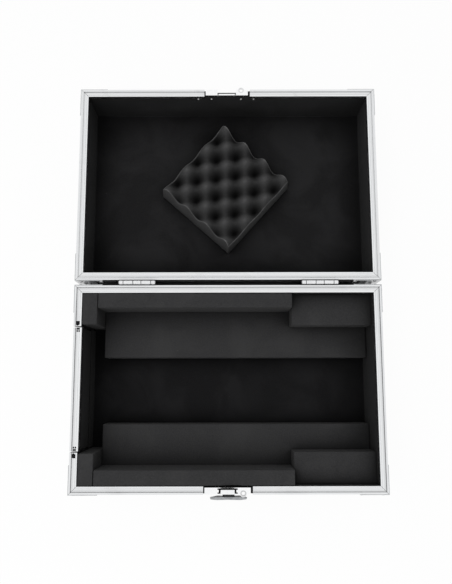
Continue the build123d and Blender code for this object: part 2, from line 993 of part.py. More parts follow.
def corner_rivets(centre_y, bottom):
    """Rivets of the four braces and the four ball corners of one half."""
    places = []
    near = ball_rivet_near
    far = ball_flange - ball_rivet_inset
    out = ball_flange_thickness
    for corner in corners(centre_y):
        for along, drop in brace_rivets:
            places.append(corner * outwards(along, -drop, brace_thickness))
            flip = Pos(-brace_thickness, along, -drop) * Rot(0, -90, 0)
            places.append(corner * flip)
        low = Pos(0, 0, bottom - skin)
        for a, b in ((near, far), (far, near)):
            places.append(corner * low * Pos(a, -out, b) * Rot(90, 0, 0))
            places.append(corner * low * Pos(-out, a, b) * Rot(0, -90, 0))
            places.append(corner * low * Pos(a, b, -out) * Rot(180, 0, 0))
    return places


def hinge_rivets(face, half_centre):
    places = []
    way = -1 if face == "back" else 1  # that side's own X runs the other way
    for hinge in hinge_places:
        for n in (-1, 0, 1):
            x = way * hinge + n * hinge_rivet_pitch
            at = outwards(x, -hinge_rivet_drop, hinge_leaf_thickness)
            places.append(side(face, half_centre) * at)
    return places


def base_rivets():
    places = corner_rivets(0, base_bottom)
    places += hinge_rivets("back", 0)
    out = -dish_plate_setback
    low = -latch_plate_drop + latch_rivet_foot
    for x in (-latch_rivet_side, latch_rivet_side):
        places.append(side("front") * outwards(x, -latch_rivet_top, out))
        places.append(side("front") * outwards(x, low, out))
    for x in (-handle_rivet_at, handle_rivet_at):
        for z in (-handle_rivet_spread / 2, handle_rivet_spread / 2):
            places.append(side("right") * outwards(x, -handle_drop + z, 0))
    heads = [place * rivet() for place in places]
    for x, y in foot_centres():
        top = base_bottom - skin - foot_height + foot_recess
        heads.append(Pos(x, y, top) * Rot(180, 0, 0) * rivet())
    return group(heads)


def lid_rivets():
    places = corner_rivets(lid_centre, lid_bottom)
    places += hinge_rivets("front", lid_centre)
    front = side("back", lid_centre)
    out = -dish_plate_setback
    for x in (-latch_rivet_side, latch_rivet_side):
        places.append(front * outwards(x, -keeper_rivet_top, out))
        places.append(front * outwards(x, -keeper_rivet_drop, out))
    heads = [place * rivet() for place in places]
    tail = rivet(rivet_end_radius, rivet_end_height)
    for x in tail_places:
        at = Pos(x, lining_face, -rim_inner_leg - tail_drop) * Rot(-90, 0, 0)
        heads.append(front * at * tail)
    return group(heads)


# Foam


def foam_places():
    """Corners of each foam block in the base: x0, x1, y0, y1, z0, z1."""
    right = case_width / 2 - lining_face - foam_gap
    rear = case_depth / 2 - lining_face - foam_gap
    front = -rear
    rim_left = -case_width / 2 + rim_width + foam_gap
    rim_rear = case_depth / 2 - rim_width - foam_gap
    rim_front = -rim_rear
    floor = base_bottom + panel_thickness + lining_thickness
    lower = floor + lower_foam_height
    corner_right = rim_left + corner_foam_length
    long_left = corner_right + foam_gap
    long_top = lower + upper_foam_height
    step_top = lower + step_foam_height
    low_left = corner_right + lower_foam_left_gap
    step_left = long_foam_end + foam_gap
    return {
        "foam_rear_left_corner": (
            rim_left,
            corner_right,
            rim_rear - rear_corner_foam_depth,
            rim_rear,
            floor,
            long_top,
        ),
        "foam_rear_lower": (
            low_left,
            right - rear_lower_foam_right_gap,
            rear - rear_lower_foam_depth,
            rear,
            floor,
            lower,
        ),
        "foam_rear_long": (
            long_left,
            long_foam_end,
            rim_rear - long_foam_depth,
            rim_rear,
            lower,
            long_top,
        ),
        "foam_rear_step": (
            step_left,
            right,
            rear - rear_step_foam_depth,
            rear,
            lower,
            step_top,
        ),
        "foam_front_left_corner": (
            rim_left,
            corner_right,
            rim_front,
            rim_front + front_corner_foam_depth,
            floor,
            long_top,
        ),
        "foam_front_lower": (
            low_left,
            right - front_lower_foam_right_gap,
            front,
            front + front_lower_foam_depth,
            floor,
            lower,
        ),
        "foam_front_long": (
            long_left,
            long_foam_end,
            rim_front,
            rim_front + long_foam_depth,
            lower,
            long_top,
        ),
        "foam_front_step": (
            step_left,
            right,
            front,
            front + front_step_foam_depth,
            lower,
            step_top,
        ),
    }


def crate_samples(length, pitch):
    """Places across the foam, a little past both cut edges, in even steps."""
    reach = length / 2 + pitch / 4
    count = round(2 * reach / pitch * crate_steps_per_pitch)
    return [-reach + 2 * reach * i / count for i in range(count + 1)]


def egg_crate_foam():
    """Pad of convoluted foam: pits and peaks by turns, cut off at its four edges."""
    rows = []
    for a in crate_samples(crate_length, crate_pitch_along):
        wave_a = cos(pi * (a - crate_pit_along) / crate_pitch_along)
        row = []
        for b in crate_samples(crate_width, crate_pitch_across):
            wave_b = cos(pi * (b - crate_pit_across) / crate_pitch_across)
            row.append(Vector(a, b, crate_middle - crate_relief * wave_a * wave_b))
        rows.append(row)
    top = Face.make_surface_from_array_of_points(rows)
    tall = 2 * (crate_middle + crate_relief)
    below = Solid.extrude(top, Vector(0, 0, -tall))
    half_a = crate_length / 2
    half_b = crate_width / 2
    pad = below & block(-half_a, half_a, -half_b, half_b, 0, tall)
    floor = lid_bottom + panel_thickness + lining_thickness
    place = Pos(crate_x, lid_centre + crate_beyond_centre, floor)
    return place * Rot(0, 0, crate_turn) * pad


def all_nodes():
    nodes = {
        "base_floor": level_panel(base_bottom, 0),
        "base_front_wall": side("front") * latch_wall(base_bottom, pan_half, pan_drop, 1),
        "base_back_wall": side("back") * long_wall(base_bottom),
        "base_right_wall": side("right") * short_wall(base_bottom),
        "base_left_wall": base_left_wall(),
        "base_lining": base_lining(),
        "base_rim_front": base_rim_front(),
        "base_rim_back": base_rim_back(),
        "base_rim_right": base_rim_right(),
        "base_rim_left": base_rim_left(),
        "base_edges_long": edges_long(base_bottom, 0),
        "base_edges_short": edges_short(base_bottom, 0),
        "base_corner_angles": corner_angles(base_bottom, 0),
        "base_ball_corners": ball_corners(base_bottom, 0),
        "base_corner_braces": corner_braces(0),
        "base_rivets": base_rivets(),
        "base_feet": base_feet(),
        "hinge_base_leaves": hinge_base_leaves(),
        "hinge_pins": hinge_pins(),
        "latch_dish": latch_dish(),
        "latch_wing": latch_wing(),
        "latch_carriage": latch_carriage(),
        "latch_hook": latch_hook(),
        "handle_plate": handle_plate(),
        "handle_bail": handle_bail(),
        "handle_grip": handle_grip(),
        "flap_panel": flap_panel(),
        "flap_rim": flap_rim(),
        "flap_lining": flap_lining(),
        "flap_hinge_base_leaf": flap_leaf(0, -1),
        "flap_hinge_leaf": flap_leaf(1, 1),
        "flap_hinge_pin": flap_hinge_pin(),
        "lid_top": level_panel(lid_bottom, lid_centre),
        "lid_front_wall": side("back", lid_centre)
        * latch_wall(lid_bottom, keeper_pan_half, keeper_pan_drop, -1),
        "lid_back_wall": side("front", lid_centre) * long_wall(lid_bottom),
        "lid_left_wall": side("left", lid_centre) * short_wall(lid_bottom),
        "lid_right_wall": side("right", lid_centre) * short_wall(lid_bottom),
        "lid_lining": open_box(lid_bottom, lid_centre),
        "lid_rim_front": lid_rim_front(),
        "lid_rim_back": lid_rim_back(),
        "lid_rim_left": lid_rim_left(),
        "lid_rim_right": lid_rim_right(),
        "lid_edges_long": edges_long(lid_bottom, lid_centre),
        "lid_edges_short": edges_short(lid_bottom, lid_centre),
        "lid_corner_angles": corner_angles(lid_bottom, lid_centre),
        "lid_ball_corners": ball_corners(lid_bottom, lid_centre),
        "lid_corner_braces": corner_braces(lid_centre),
        "lid_rivets": lid_rivets(),
        "hinge_lid_leaves": hinge_lid_leaves(),
        "keeper_dish": keeper_dish(),
        "keeper_plate": keeper_plate(),
        "egg_crate_foam": egg_crate_foam(),
    }
    for name, corner in foam_places().items():
        nodes[name] = block(*corner)
    return nodes


os.makedirs("parts", exist_ok=True)
nodes = all_nodes()
boxes = [shape.bounding_box() for shape in nodes.values()]
middle_x = (min(b.min.X for b in boxes) + max(b.max.X for b in boxes)) / 2
middle_y = (min(b.min.Y for b in boxes) + max(b.max.Y for b in boxes)) / 2
lowest = min(b.min.Z for b in boxes)
home = Pos(-middle_x, -middle_y, -lowest)
for name, shape in nodes.items():
    export_step(home * shape, f"parts/{name}.step")
flap_s, flap_z = flap_pin_place()
print("nodes", len(nodes), "moved by", -middle_x, -middle_y, -lowest)
print("lid pin", 0 - middle_x, hinge_y - middle_y, hinge_z - lowest)
print("flap pin", -case_width / 2 + flap_s - middle_x, flap_z - lowest)
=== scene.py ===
import json
import math

import bmesh
import bpy
from mathutils import Matrix, Vector, noise


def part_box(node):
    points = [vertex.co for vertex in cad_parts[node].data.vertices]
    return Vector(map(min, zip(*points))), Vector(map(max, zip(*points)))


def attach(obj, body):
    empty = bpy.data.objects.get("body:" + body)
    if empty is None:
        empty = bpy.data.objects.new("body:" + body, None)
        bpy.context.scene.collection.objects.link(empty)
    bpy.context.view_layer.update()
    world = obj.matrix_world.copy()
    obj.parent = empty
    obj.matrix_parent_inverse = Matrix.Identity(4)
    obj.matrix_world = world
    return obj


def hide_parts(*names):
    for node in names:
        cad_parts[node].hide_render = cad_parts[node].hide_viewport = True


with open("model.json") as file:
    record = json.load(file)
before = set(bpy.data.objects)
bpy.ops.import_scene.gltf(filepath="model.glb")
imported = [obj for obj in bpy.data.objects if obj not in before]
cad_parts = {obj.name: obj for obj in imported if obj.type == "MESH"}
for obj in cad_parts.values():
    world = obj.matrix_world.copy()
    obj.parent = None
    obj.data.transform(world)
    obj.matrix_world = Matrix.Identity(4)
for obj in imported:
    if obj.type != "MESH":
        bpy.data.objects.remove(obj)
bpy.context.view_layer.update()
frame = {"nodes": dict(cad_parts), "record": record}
nodes = frame["nodes"]
mm = 0.001  # metres

# Middle of the base at the rim plane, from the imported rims
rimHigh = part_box("base_rim_back")[1]
rimLeft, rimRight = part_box("base_rim_left")[0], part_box("base_rim_right")[1]
caseMiddle = Vector(((rimLeft.x + rimRight.x) / 2, (rimLeft.y + rimRight.y) / 2, rimHigh.z))


# Small helpers for node trees, shader and geometry alike

def plug(tree, value, socket):
    if isinstance(value, bpy.types.NodeSocket):
        tree.links.new(value, socket)
    else:
        socket.default_value = value


def addNode(tree, kind, inputs=None, **settings):
    node = tree.nodes.new(kind)
    for key, value in settings.items():
        setattr(node, key, value)
    for key, value in (inputs or {}).items():
        plug(tree, value, node.inputs[key])
    return node


def calc(tree, operation, *values):
    inputs = dict(enumerate(values))
    return addNode(tree, "ShaderNodeMath", inputs, operation=operation).outputs[0]


def times(tree, first, second):
    return calc(tree, "MULTIPLY", first, second)


def minus(tree, first, second):
    return calc(tree, "SUBTRACT", first, second)


def vectorCalc(tree, operation, *values):
    inputs = dict(enumerate(values))
    return addNode(tree, "ShaderNodeVectorMath", inputs, operation=operation).outputs[0]


def splitVector(tree, value):
    return addNode(tree, "ShaderNodeSeparateXYZ", {0: value}).outputs


def joinVector(tree, *values):
    return addNode(tree, "ShaderNodeCombineXYZ", dict(enumerate(values))).outputs[0]


def cloudNoise(tree, spot, scale, detail, **more):
    inputs = {"Vector": spot, "Scale": scale, "Detail": detail, **more}
    return addNode(tree, "ShaderNodeTexNoise", inputs).outputs


def remap(tree, value, fromLow, fromHigh, toLow=0.0, toHigh=1.0):
    inputs = dict(enumerate((value, fromLow, fromHigh, toLow, toHigh)))
    return addNode(tree, "ShaderNodeMapRange", inputs).outputs[0]


def blendColour(tree, first, second, amount):
    node = addNode(tree, "ShaderNodeMix", data_type="RGBA")
    plug(tree, amount, node.inputs[0])
    plug(tree, (*first, 1) if isinstance(first, tuple) else first, node.inputs[6])
    plug(tree, (*second, 1) if isinstance(second, tuple) else second, node.inputs[7])
    return node.outputs[2]


def nodeTree(owner):
    owner.use_nodes = True
    tree = owner.node_tree
    tree.nodes.clear()
    return tree


# Camera, lamps and floor

cameraSet = {
    "at": (-3.9, 8.6, 1022.8),  # mm from the middle of the base's rim plane
    "tilt": 0.14514,  # radians, as are turn and roll
    "turn": -0.00287,
    "roll": 0.00097,
    "focalPixels": 615.9,
    "imageHeight": 584,
    "sensor": 36.0,
    "clip": (0.01, 50),  # metres
}


def buildCamera(use):
    data = bpy.data.cameras.new("topCamera")
    data.sensor_fit = "VERTICAL"
    data.sensor_height = use["sensor"]
    data.lens = use["focalPixels"] / use["imageHeight"] * use["sensor"]
    data.clip_start, data.clip_end = use["clip"]
    cam = bpy.data.objects.new("topCamera", data)
    bpy.context.scene.collection.objects.link(cam)
    ct, st = math.cos(use["tilt"]), math.sin(use["tilt"])
    cy, sy = math.cos(use["turn"]), math.sin(use["turn"])
    right = Vector((cy, sy, 0))
    up = Vector((-ct * sy, ct * cy, st))
    ahead = Vector((-st * sy, st * cy, -ct))
    cr, sr = math.cos(use["roll"]), math.sin(use["roll"])
    right, up = right * cr + up * sr, up * cr - right * sr
    turned = Matrix((right, up, -ahead)).transposed().to_4x4()
    cam.matrix_world = Matrix.Translation(caseMiddle + Vector(use["at"]) * mm) @ turned
    bpy.context.scene.camera = cam


lightSet = {
    "worldForLight": 0.50,
    "overhead": {"power": 23.5, "size": 1.5, "at": (-0.35, -0.2, 2.2)},
    "fill": {"power": 4.0, "size": 1.8, "at": (-0.8, -1.4, 1.5)},
    "aimAt": (0, 0.17, -0.03),  # from the middle of the base's rim plane
    "floorColour": (0.93, 0.93, 0.93),
    "floorSize": 12.0,
    "floorWhite": 0.93,  # how far the floor is lifted to white where it is seen directly
    "floorShade": 0.07,  # how far off a wall or the case itself keeps the lift away and paints shadow on the floor
    "floorRays": 48,  # enough that the shade has no speckle
    "floorOpen": (0.2, 0.48),  # share of sky from which the lift starts and is whole
    "floorShadowColour": (0.03, 0.03, 0.03),  # painted shadow: the floor's colour where no sky is left
}


white = (1, 1, 1, 1)


def addLight(name, use, target):
    data = bpy.data.lights.new(name, "AREA")
    data.energy = use["power"]
    data.size = use["size"]
    lamp = bpy.data.objects.new(name, data)
    bpy.context.scene.collection.objects.link(lamp)
    lamp.location = use["at"]
    lamp.rotation_euler = (Vector(use["at"]) - target).to_track_quat("Z", "Y").to_euler()
    lamp.visible_glossy = False  # metal mirrors the white room, not the lamps


def seenDirectly(tree):
    path = addNode(tree, "ShaderNodeLightPath")
    either = calc(tree, "MAXIMUM", path.outputs["Is Camera Ray"], path.outputs["Is Glossy Ray"])
    return calc(tree, "MAXIMUM", either, path.outputs["Is Transmission Ray"])


def mixShaders(tree, first, second, share):
    pair = {0: share, 1: first.outputs[0], 2: second.outputs[0]}
    return addNode(tree, "ShaderNodeMixShader", pair).outputs[0]


def buildFloor(use):
    half = use["floorSize"] / 2
    corners = [(-half, -half, 0), (half, -half, 0), (half, half, 0), (-half, half, 0)]
    mesh = bpy.data.meshes.new("studioFloor")
    mesh.from_pydata(corners, [], [(0, 1, 2, 3)])
    floor = bpy.data.objects.new("studioFloor", mesh)
    bpy.context.scene.collection.objects.link(floor)
    material = bpy.data.materials.new("paleFloor")
    tree = nodeTree(material)
    reach = {"Distance": use["floorShade"]}
    rays = use["floorRays"]
    sky = addNode(tree, "ShaderNodeAmbientOcclusion", reach, samples=rays).outputs["AO"]
    # painted shadow on the floor by the case, darkest where no sky is left
    lit = remap(tree, sky, 0.0, use["floorOpen"][0])
    colour = blendColour(tree, use["floorShadowColour"], use["floorColour"], lit)
    matt = addNode(tree, "ShaderNodeBsdfDiffuse", {"Color": colour})
    glow = addNode(tree, "ShaderNodeEmission", {"Color": white, "Strength": 1.0})
    lift = remap(tree, sky, *use["floorOpen"], 0.0, use["floorWhite"])
    lifted = times(tree, seenDirectly(tree), lift)
    mix = mixShaders(tree, matt, glow, lifted)
    addNode(tree, "ShaderNodeOutputMaterial", {"Surface": mix})
    mesh.materials.append(material)


def buildStage(use):
    scene = bpy.context.scene
    scene.view_settings.view_transform = "Standard"
    scene.world = bpy.data.worlds.new("studioWorld")
    tree = nodeTree(scene.world)
    dim = addNode(tree, "ShaderNodeBackground", {"Color": white, "Strength": use["worldForLight"]})
    bright = addNode(tree, "ShaderNodeBackground", {"Color": white, "Strength": 1.0})
    mix = mixShaders(tree, dim, bright, seenDirectly(tree))
    addNode(tree, "ShaderNodeOutputWorld", {"Surface": mix})
    target = caseMiddle + Vector(use["aimAt"])
    addLight("overheadSoftbox", use["overhead"], target)
    addLight("frontFill", use["fill"], target)
    buildFloor(use)


buildCamera(cameraSet)
buildStage(lightSet)
print("stage: camera, lamps and floor")


# Shader groups, built once and placed in the materials below

def newGroup(name, vectors, floats, outputs=("Value",)):
    group = bpy.data.node_groups.new(name, "ShaderNodeTree")
    newSocket = group.interface.new_socket
    for label in vectors:
        newSocket(name=label, in_out="INPUT", socket_type="NodeSocketVector")
    for label in floats:
        newSocket(name=label, in_out="INPUT", socket_type="NodeSocketFloat")
    for label in outputs:
        newSocket(name=label, in_out="OUTPUT", socket_type="NodeSocketFloat")
    start = group.nodes.new("NodeGroupInput")
    end = group.nodes.new("NodeGroupOutput")
    return group, start.outputs, end.inputs


linesSet = {
    "fineDetail": 4.0,
    "fineRoughness": 0.6,
    "bandScale": 0.22,  # of the fine lines' scale
    "bandDetail": 2.0,
    "bandShare": 0.45,
    "low": 0.55,  # noise value of a dark line at no contrast
    "lowAndHigh": 1.05,
}


def drawnLinesGroup(use):
    # fine lines left by drawing or brushing, with wider bands under them
    group, given, result = newGroup("drawnLines", ("Vector", "Stretch"), ("Contrast",))
    drawn = vectorCalc(group, "MULTIPLY", given["Vector"], given["Stretch"])
    fine = cloudNoise(group, drawn, 1.0, use["fineDetail"], Roughness=use["fineRoughness"])[0]
    bands = cloudNoise(group, drawn, use["bandScale"], use["bandDetail"])[0]
    fine = times(group, fine, 1 - use["bandShare"])
    both = calc(group, "MULTIPLY_ADD", bands, use["bandShare"], fine)
    low = minus(group, use["low"], times(group, given["Contrast"], 0.5))
    high = minus(group, use["lowAndHigh"], low)
    plug(group, remap(group, both, low, high), result["Value"])
    return group


marksSet = {
    "detail": 5.0,
    "roughness": 0.55,
    "distortion": 0.6,
    "edge": 0.78,  # noise value where a mark starts at no cover
    "cover": 0.5,
    "fade": 0.16,
}


def handMarksGroup(use):
    # soft patches from handling: the Value is 0 on clean surface and 1 in a mark
    group, given, result = newGroup("handMarks", ("Vector",), ("Scale", "Cover"))
    more = {"Roughness": use["roughness"], "Distortion": use["distortion"]}
    cloud = cloudNoise(group, given["Vector"], given["Scale"], use["detail"], **more)[0]
    edge = minus(group, use["edge"], times(group, given["Cover"], use["cover"]))
    top = calc(group, "ADD", edge, use["fade"])
    plug(group, remap(group, cloud, edge, top), result["Value"])
    return group


cellsSet = {
    "grainScale": 0.45,  # of the bubbles' scale
    "grainDetail": 4.0,
    "rim": 1.2,
    "grainHeight": 0.5,  # the grain's share of each result, the rest is the bubbles'
    "grainValue": 0.65,
}


def openCellsGroup(use):
    # the broken bubbles at a cut foam face
    results = ("Value", "Height")
    group, given, result = newGroup("openCells", ("Vector",), ("Cells",), results)
    wanted = {"Vector": given["Vector"], "Scale": given["Cells"]}
    bubbles = addNode(group, "ShaderNodeTexVoronoi", wanted).outputs["Distance"]
    grainScale = times(group, given["Cells"], use["grainScale"])
    grain = cloudNoise(group, given["Vector"], grainScale, use["grainDetail"])[0]
    rim = times(group, bubbles, use["rim"])
    for label in results:
        share = use["grain" + label]
        mixed = calc(group, "MULTIPLY_ADD", grain, share, times(group, rim, 1 - share))
        plug(group, mixed, result[label])
    return group


lintSet = {"bend": 0.004, "bendScale": 300.0, "bendDetail": 2.0}


def lintGroup(use):
    # a few pale fibres and dust specks on black fabric
    group, given, result = newGroup("lint", ("Vector",), ("Spacing", "Size", "Share"))
    bent = cloudNoise(group, given["Vector"], use["bendScale"], use["bendDetail"])["Color"]
    shift = vectorCalc(group, "MULTIPLY", bent, (use["bend"],) * 3)
    moved = vectorCalc(group, "ADD", given["Vector"], shift)
    specks = addNode(group, "ShaderNodeTexVoronoi", {"Vector": moved, "Scale": given["Spacing"]})
    near = calc(group, "LESS_THAN", specks.outputs["Distance"], given["Size"])
    lot = addNode(group, "ShaderNodeSeparateColor", {0: specks.outputs["Color"]})
    picked = calc(group, "LESS_THAN", lot.outputs[0], given["Share"])
    plug(group, times(group, near, picked), result["Value"])
    return group


grainSet = {"cloudScale": 0.3, "cloudDetail": 3.0}  # the scale is a share of the grains'


def grainGroup(use):
    # leathery grain of pressed laminate and moulded rubber
    group, given, result = newGroup("pressedGrain", ("Vector",), ("Grains", "Evenness"))
    wanted = {"Vector": given["Vector"], "Scale": given["Grains"]}
    cells = addNode(group, "ShaderNodeTexVoronoi", wanted, feature="SMOOTH_F1")
    cloudScale = times(group, given["Grains"], use["cloudScale"])
    cloud = cloudNoise(group, given["Vector"], cloudScale, use["cloudDetail"])[0]
    rough = times(group, cloud, minus(group, 1.0, given["Evenness"]))
    even = times(group, cells.outputs["Distance"], given["Evenness"])
    plug(group, calc(group, "ADD", rough, even), result["Value"])
    return group


edgesSet = {
    "rays": 4,
    "flat": 0.985,  # cosine of the turn where an edge begins, and where it is whole
    "turned": 0.86,
    "breakDetail": 4.0,
    "breaks": (0.38, 0.62),
}


def wornEdgesGroup(use):
    # painted highlight: 1 where the surface turns a corner, broken up so that it isn't a drawn
    # line
    group, given, result = newGroup("wornEdges", ("Vector",), ("Radius", "Breaks"))
    rounded = addNode(group, "ShaderNodeBevel", {"Radius": given["Radius"]}, samples=use["rays"])
    flat = addNode(group, "ShaderNodeNewGeometry").outputs["True Normal"]
    pair = {0: rounded.outputs[0], 1: flat}
    across = addNode(group, "ShaderNodeVectorMath", pair, operation="DOT_PRODUCT").outputs["Value"]
    turn = remap(group, across, use["flat"], use["turned"])
    cloud = cloudNoise(group, given["Vector"], given["Breaks"], use["breakDetail"])[0]
    plug(group, times(group, turn, remap(group, cloud, *use["breaks"])), result["Value"])
    return group


paintedShadeSet = {"rays": 8, "open": 0.85}  # open is the share of sky that counts as all of it


def paintedShadeGroup(use):
    # painted shade: 1 in the open, down to the Floor value deep in a gap or corner
    group, given, result = newGroup("paintedShade", (), ("Distance", "Floor", "Shut"))
    reach = {"Distance": given["Distance"]}
    sky = addNode(group, "ShaderNodeAmbientOcclusion", reach, samples=use["rays"]).outputs["AO"]
    shade = remap(group, sky, given["Shut"], use["open"], given["Floor"], 1.0)
    plug(group, shade, result["Value"])
    return group


groups = {
    "paintedShade": paintedShadeGroup(paintedShadeSet),
    "lines": drawnLinesGroup(linesSet),
    "marks": handMarksGroup(marksSet),
    "cells": openCellsGroup(cellsSet),
    "lint": lintGroup(lintSet),
    "grain": grainGroup(grainSet),
    "edges": wornEdgesGroup(edgesSet),
}


def placeGroup(tree, name, **values):
    node = addNode(tree, "ShaderNodeGroup", values, node_tree=groups[name])
    return node.outputs


def useGroup(tree, name, **values):
    return placeGroup(tree, name, **values)["Value"]


# Materials

def newMaterial(name, metallic=0.0, roughness=0.5, specular=0.5, sheen=0.0):
    material = bpy.data.materials.new(name)
    tree = nodeTree(material)
    shader = tree.nodes.new("ShaderNodeBsdfPrincipled")
    shader.inputs["Metallic"].default_value = metallic
    shader.inputs["Roughness"].default_value = roughness
    shader.inputs["Specular IOR Level"].default_value = specular
    shader.inputs["Sheen Weight"].default_value = sheen
    addNode(tree, "ShaderNodeOutputMaterial", {"Surface": shader.outputs[0]})
    spot = tree.nodes.new("ShaderNodeTexCoord").outputs["Object"]
    return material, tree, shader, spot


def darken(tree, colour, share):
    return blendColour(tree, (0.0, 0.0, 0.0), colour, share)


def soil(tree, colour, other, amount, share):
    return blendColour(tree, colour, other, times(tree, amount, share))


def handMarks(tree, spot, use):
    return useGroup(tree, "marks", Vector=spot, Scale=use["markScale"], Cover=use["markCover"])


def wornEdges(tree, spot, use):
    radius = use["edgeRadius"] * mm
    return useGroup(tree, "edges", Vector=spot, Radius=radius, Breaks=use["edgeBreaks"])


def lintSpecks(tree, spot, use):
    spacing, size, share = use["lintSpread"]
    return useGroup(tree, "lint", Vector=spot, Spacing=spacing, Size=size, Share=share)


def addPaintedShade(tree, shader, colour, use, floor=None):
    # the colour, with painted shade darkening it in gaps and corners
    floor = use["gapFloor"] if floor is None else floor
    distance = use["gap"] * mm
    shade = useGroup(tree, "paintedShade", Distance=distance, Floor=floor, Shut=use["shut"])
    tree.links.new(darken(tree, colour, shade), shader.inputs["Base Color"])


def addBump(tree, shader, height, use):
    distance = use["bumpDepth"] * mm
    inputs = {"Strength": use["bump"], "Distance": distance, "Height": height}
    bump = addNode(tree, "ShaderNodeBump", inputs)
    tree.links.new(bump.outputs[0], shader.inputs["Normal"])


metalSet = {
    "rimAlong": {
        "stretch": (5, 700, 700),
        "light": (0.92, 0.93, 0.94),
        "dark": (0.76, 0.77, 0.78),
        "stain": (0.58, 0.58, 0.59),
        "worn": (0.93, 0.93, 0.94),
        "rough": (0.24, 0.40),
        "lines": 0.5,
        "bump": 0.06,
        "gap": 12.0,  # mm within which painted shade darkens the metal in a gap
        "gapFloor": 0.62,
        "shut": 0.15,
    },
    "plated": {
        "stretch": (260, 260, 260),
        "light": (0.97, 0.97, 0.97),
        "dark": (0.84, 0.85, 0.86),
        "stain": (0.68, 0.68, 0.69),
        "worn": (0.98, 0.98, 0.98),
        "rough": (0.16, 0.34),
        "lines": 0.4,
        "bump": 0.03,
        "gap": 9.0,
        "gapFloor": 0.02,
        "shut": 0.1,
    },
    "cast": {
        "stretch": (180, 180, 180),
        "light": (0.50, 0.51, 0.52),
        "dark": (0.26, 0.27, 0.28),
        "stain": (0.12, 0.12, 0.12),
        "worn": (0.74, 0.74, 0.74),
        "rough": (0.26, 0.42),
        "lines": 0.5,
        "bump": 0.05,
        "gap": 10.0,
        "gapFloor": 0.03,
        "shut": 0.25,
        "collar": 0.12,
        "collarFade": (4.2, 4.8),  # mm behind the wing's front
    },
}
metalSet["rimAcross"] = {**metalSet["rimAlong"], "stretch": (700, 5, 700)}
metalSet["edgeAlong"] = {
    **metalSet["rimAlong"],
    "light": (0.76, 0.77, 0.78),
    "dark": (0.60, 0.61, 0.62),
    "rough": (0.30, 0.46),
}
metalSet["edgeAcross"] = {**metalSet["edgeAlong"], "stretch": (700, 5, 700)}
metalSet["edgeUpright"] = {**metalSet["edgeAlong"], "stretch": (700, 700, 5)}
metalSet["pressed"] = {**metalSet["plated"], "dark": (0.74, 0.75, 0.76), "rough": (0.22, 0.42)}
metalSet["dished"] = {
    **metalSet["pressed"],
    "light": (0.99, 0.99, 0.99),
    "dark": (0.88, 0.89, 0.90),
    "stain": (0.80, 0.80, 0.81),
    "gap": 28.0,
    "shut": 0.45,
    "eye": 0.62,
    "eyeDish": "latch_dish",
    "eyeIn": (11.9, 5.7),  # mm inwards from the dish's right edge and from its outer edge
    "eyeFade": (4.4, 5.4),
}
metalSet["hinged"] = {
    **metalSet["pressed"],
    "light": (0.88, 0.88, 0.89),
    "gap": 5.0,
    "shut": 0.55,
}
metalSet["braces"] = {
    **metalSet["plated"],
    "light": (0.66, 0.67, 0.68),
    "dark": (0.44, 0.45, 0.46),
}
metalSet["kept"] = {
    **metalSet["dished"],
    "gap": 4.0,
    "gapFloor": 0.0,
    "shut": 0.5,
    "eye": 0.78,
    "eyeDish": "keeper_dish",
}
metalSet["rivets"] = {
    **metalSet["plated"],
    "light": (0.95, 0.95, 0.95),
    "gapFloor": 0.5,
    "metallic": 0.5,
}
# what every metal has, unless its own settings say otherwise
metalShared = {
    "metallic": 1.0,
    "markScale": 16.0,
    "markCover": 0.42,
    "markShare": 0.35,
    "edgeRadius": 0.5,
    "edgeBreaks": 110.0,
    "edgeShare": 0.6,
    "bumpDepth": 0.1,
}
# painted shade across a rim's face
rimFaceSet = {"outer": 0.94, "groove": 0.80, "from": 5.3 * mm, "to": 10.5 * mm}


def rimShade(tree, spot, along, use):
    # painted shade and light across a rim's flat face: darkest behind the groove and brightest at
    # the inner lip
    place = splitVector(tree, spot)
    if along:
        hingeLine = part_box("hinge_pins")
        turn = (hingeLine[0].y + hingeLine[1].y) / 2
        away = calc(tree, "ABSOLUTE", minus(tree, place[1], turn))
        middle, half = turn - caseMiddle.y, rimHigh.y - caseMiddle.y
    else:
        away = calc(tree, "ABSOLUTE", minus(tree, place[0], caseMiddle.x))
        middle, half = 0.0, rimRight.x - caseMiddle.x
    inwards = minus(tree, half, calc(tree, "ABSOLUTE", minus(tree, away, middle)))
    bowed = remap(tree, inwards, use["from"], use["to"], use["groove"], 1.0)
    outer = times(tree, calc(tree, "LESS_THAN", inwards, use["from"]), use["outer"])
    return calc(tree, "MAXIMUM", bowed, outer)


def eyeShade(tree, spot, use):
    # painted shade in a ring round a padlock eye's hole
    low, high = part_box(use["eyeDish"])
    across, along = (value * mm for value in use["eyeIn"])
    eyeY = low.y + along if use["eyeDish"] == "latch_dish" else high.y - along
    pair = {0: spot, 1: (high.x - across, eyeY, high.z)}
    reach = addNode(tree, "ShaderNodeVectorMath", pair, operation="DISTANCE").outputs["Value"]
    near, far = (value * mm for value in use["eyeFade"])
    return remap(tree, reach, near, far, use["eye"], 1.0)


def collarShade(tree, spot, use):
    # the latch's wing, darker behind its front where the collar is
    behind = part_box("latch_wing")[0].y
    near, far = (behind + value * mm for value in use["collarFade"])
    return remap(tree, splitVector(tree, spot)[1], near, far, 1.0, use["collar"])


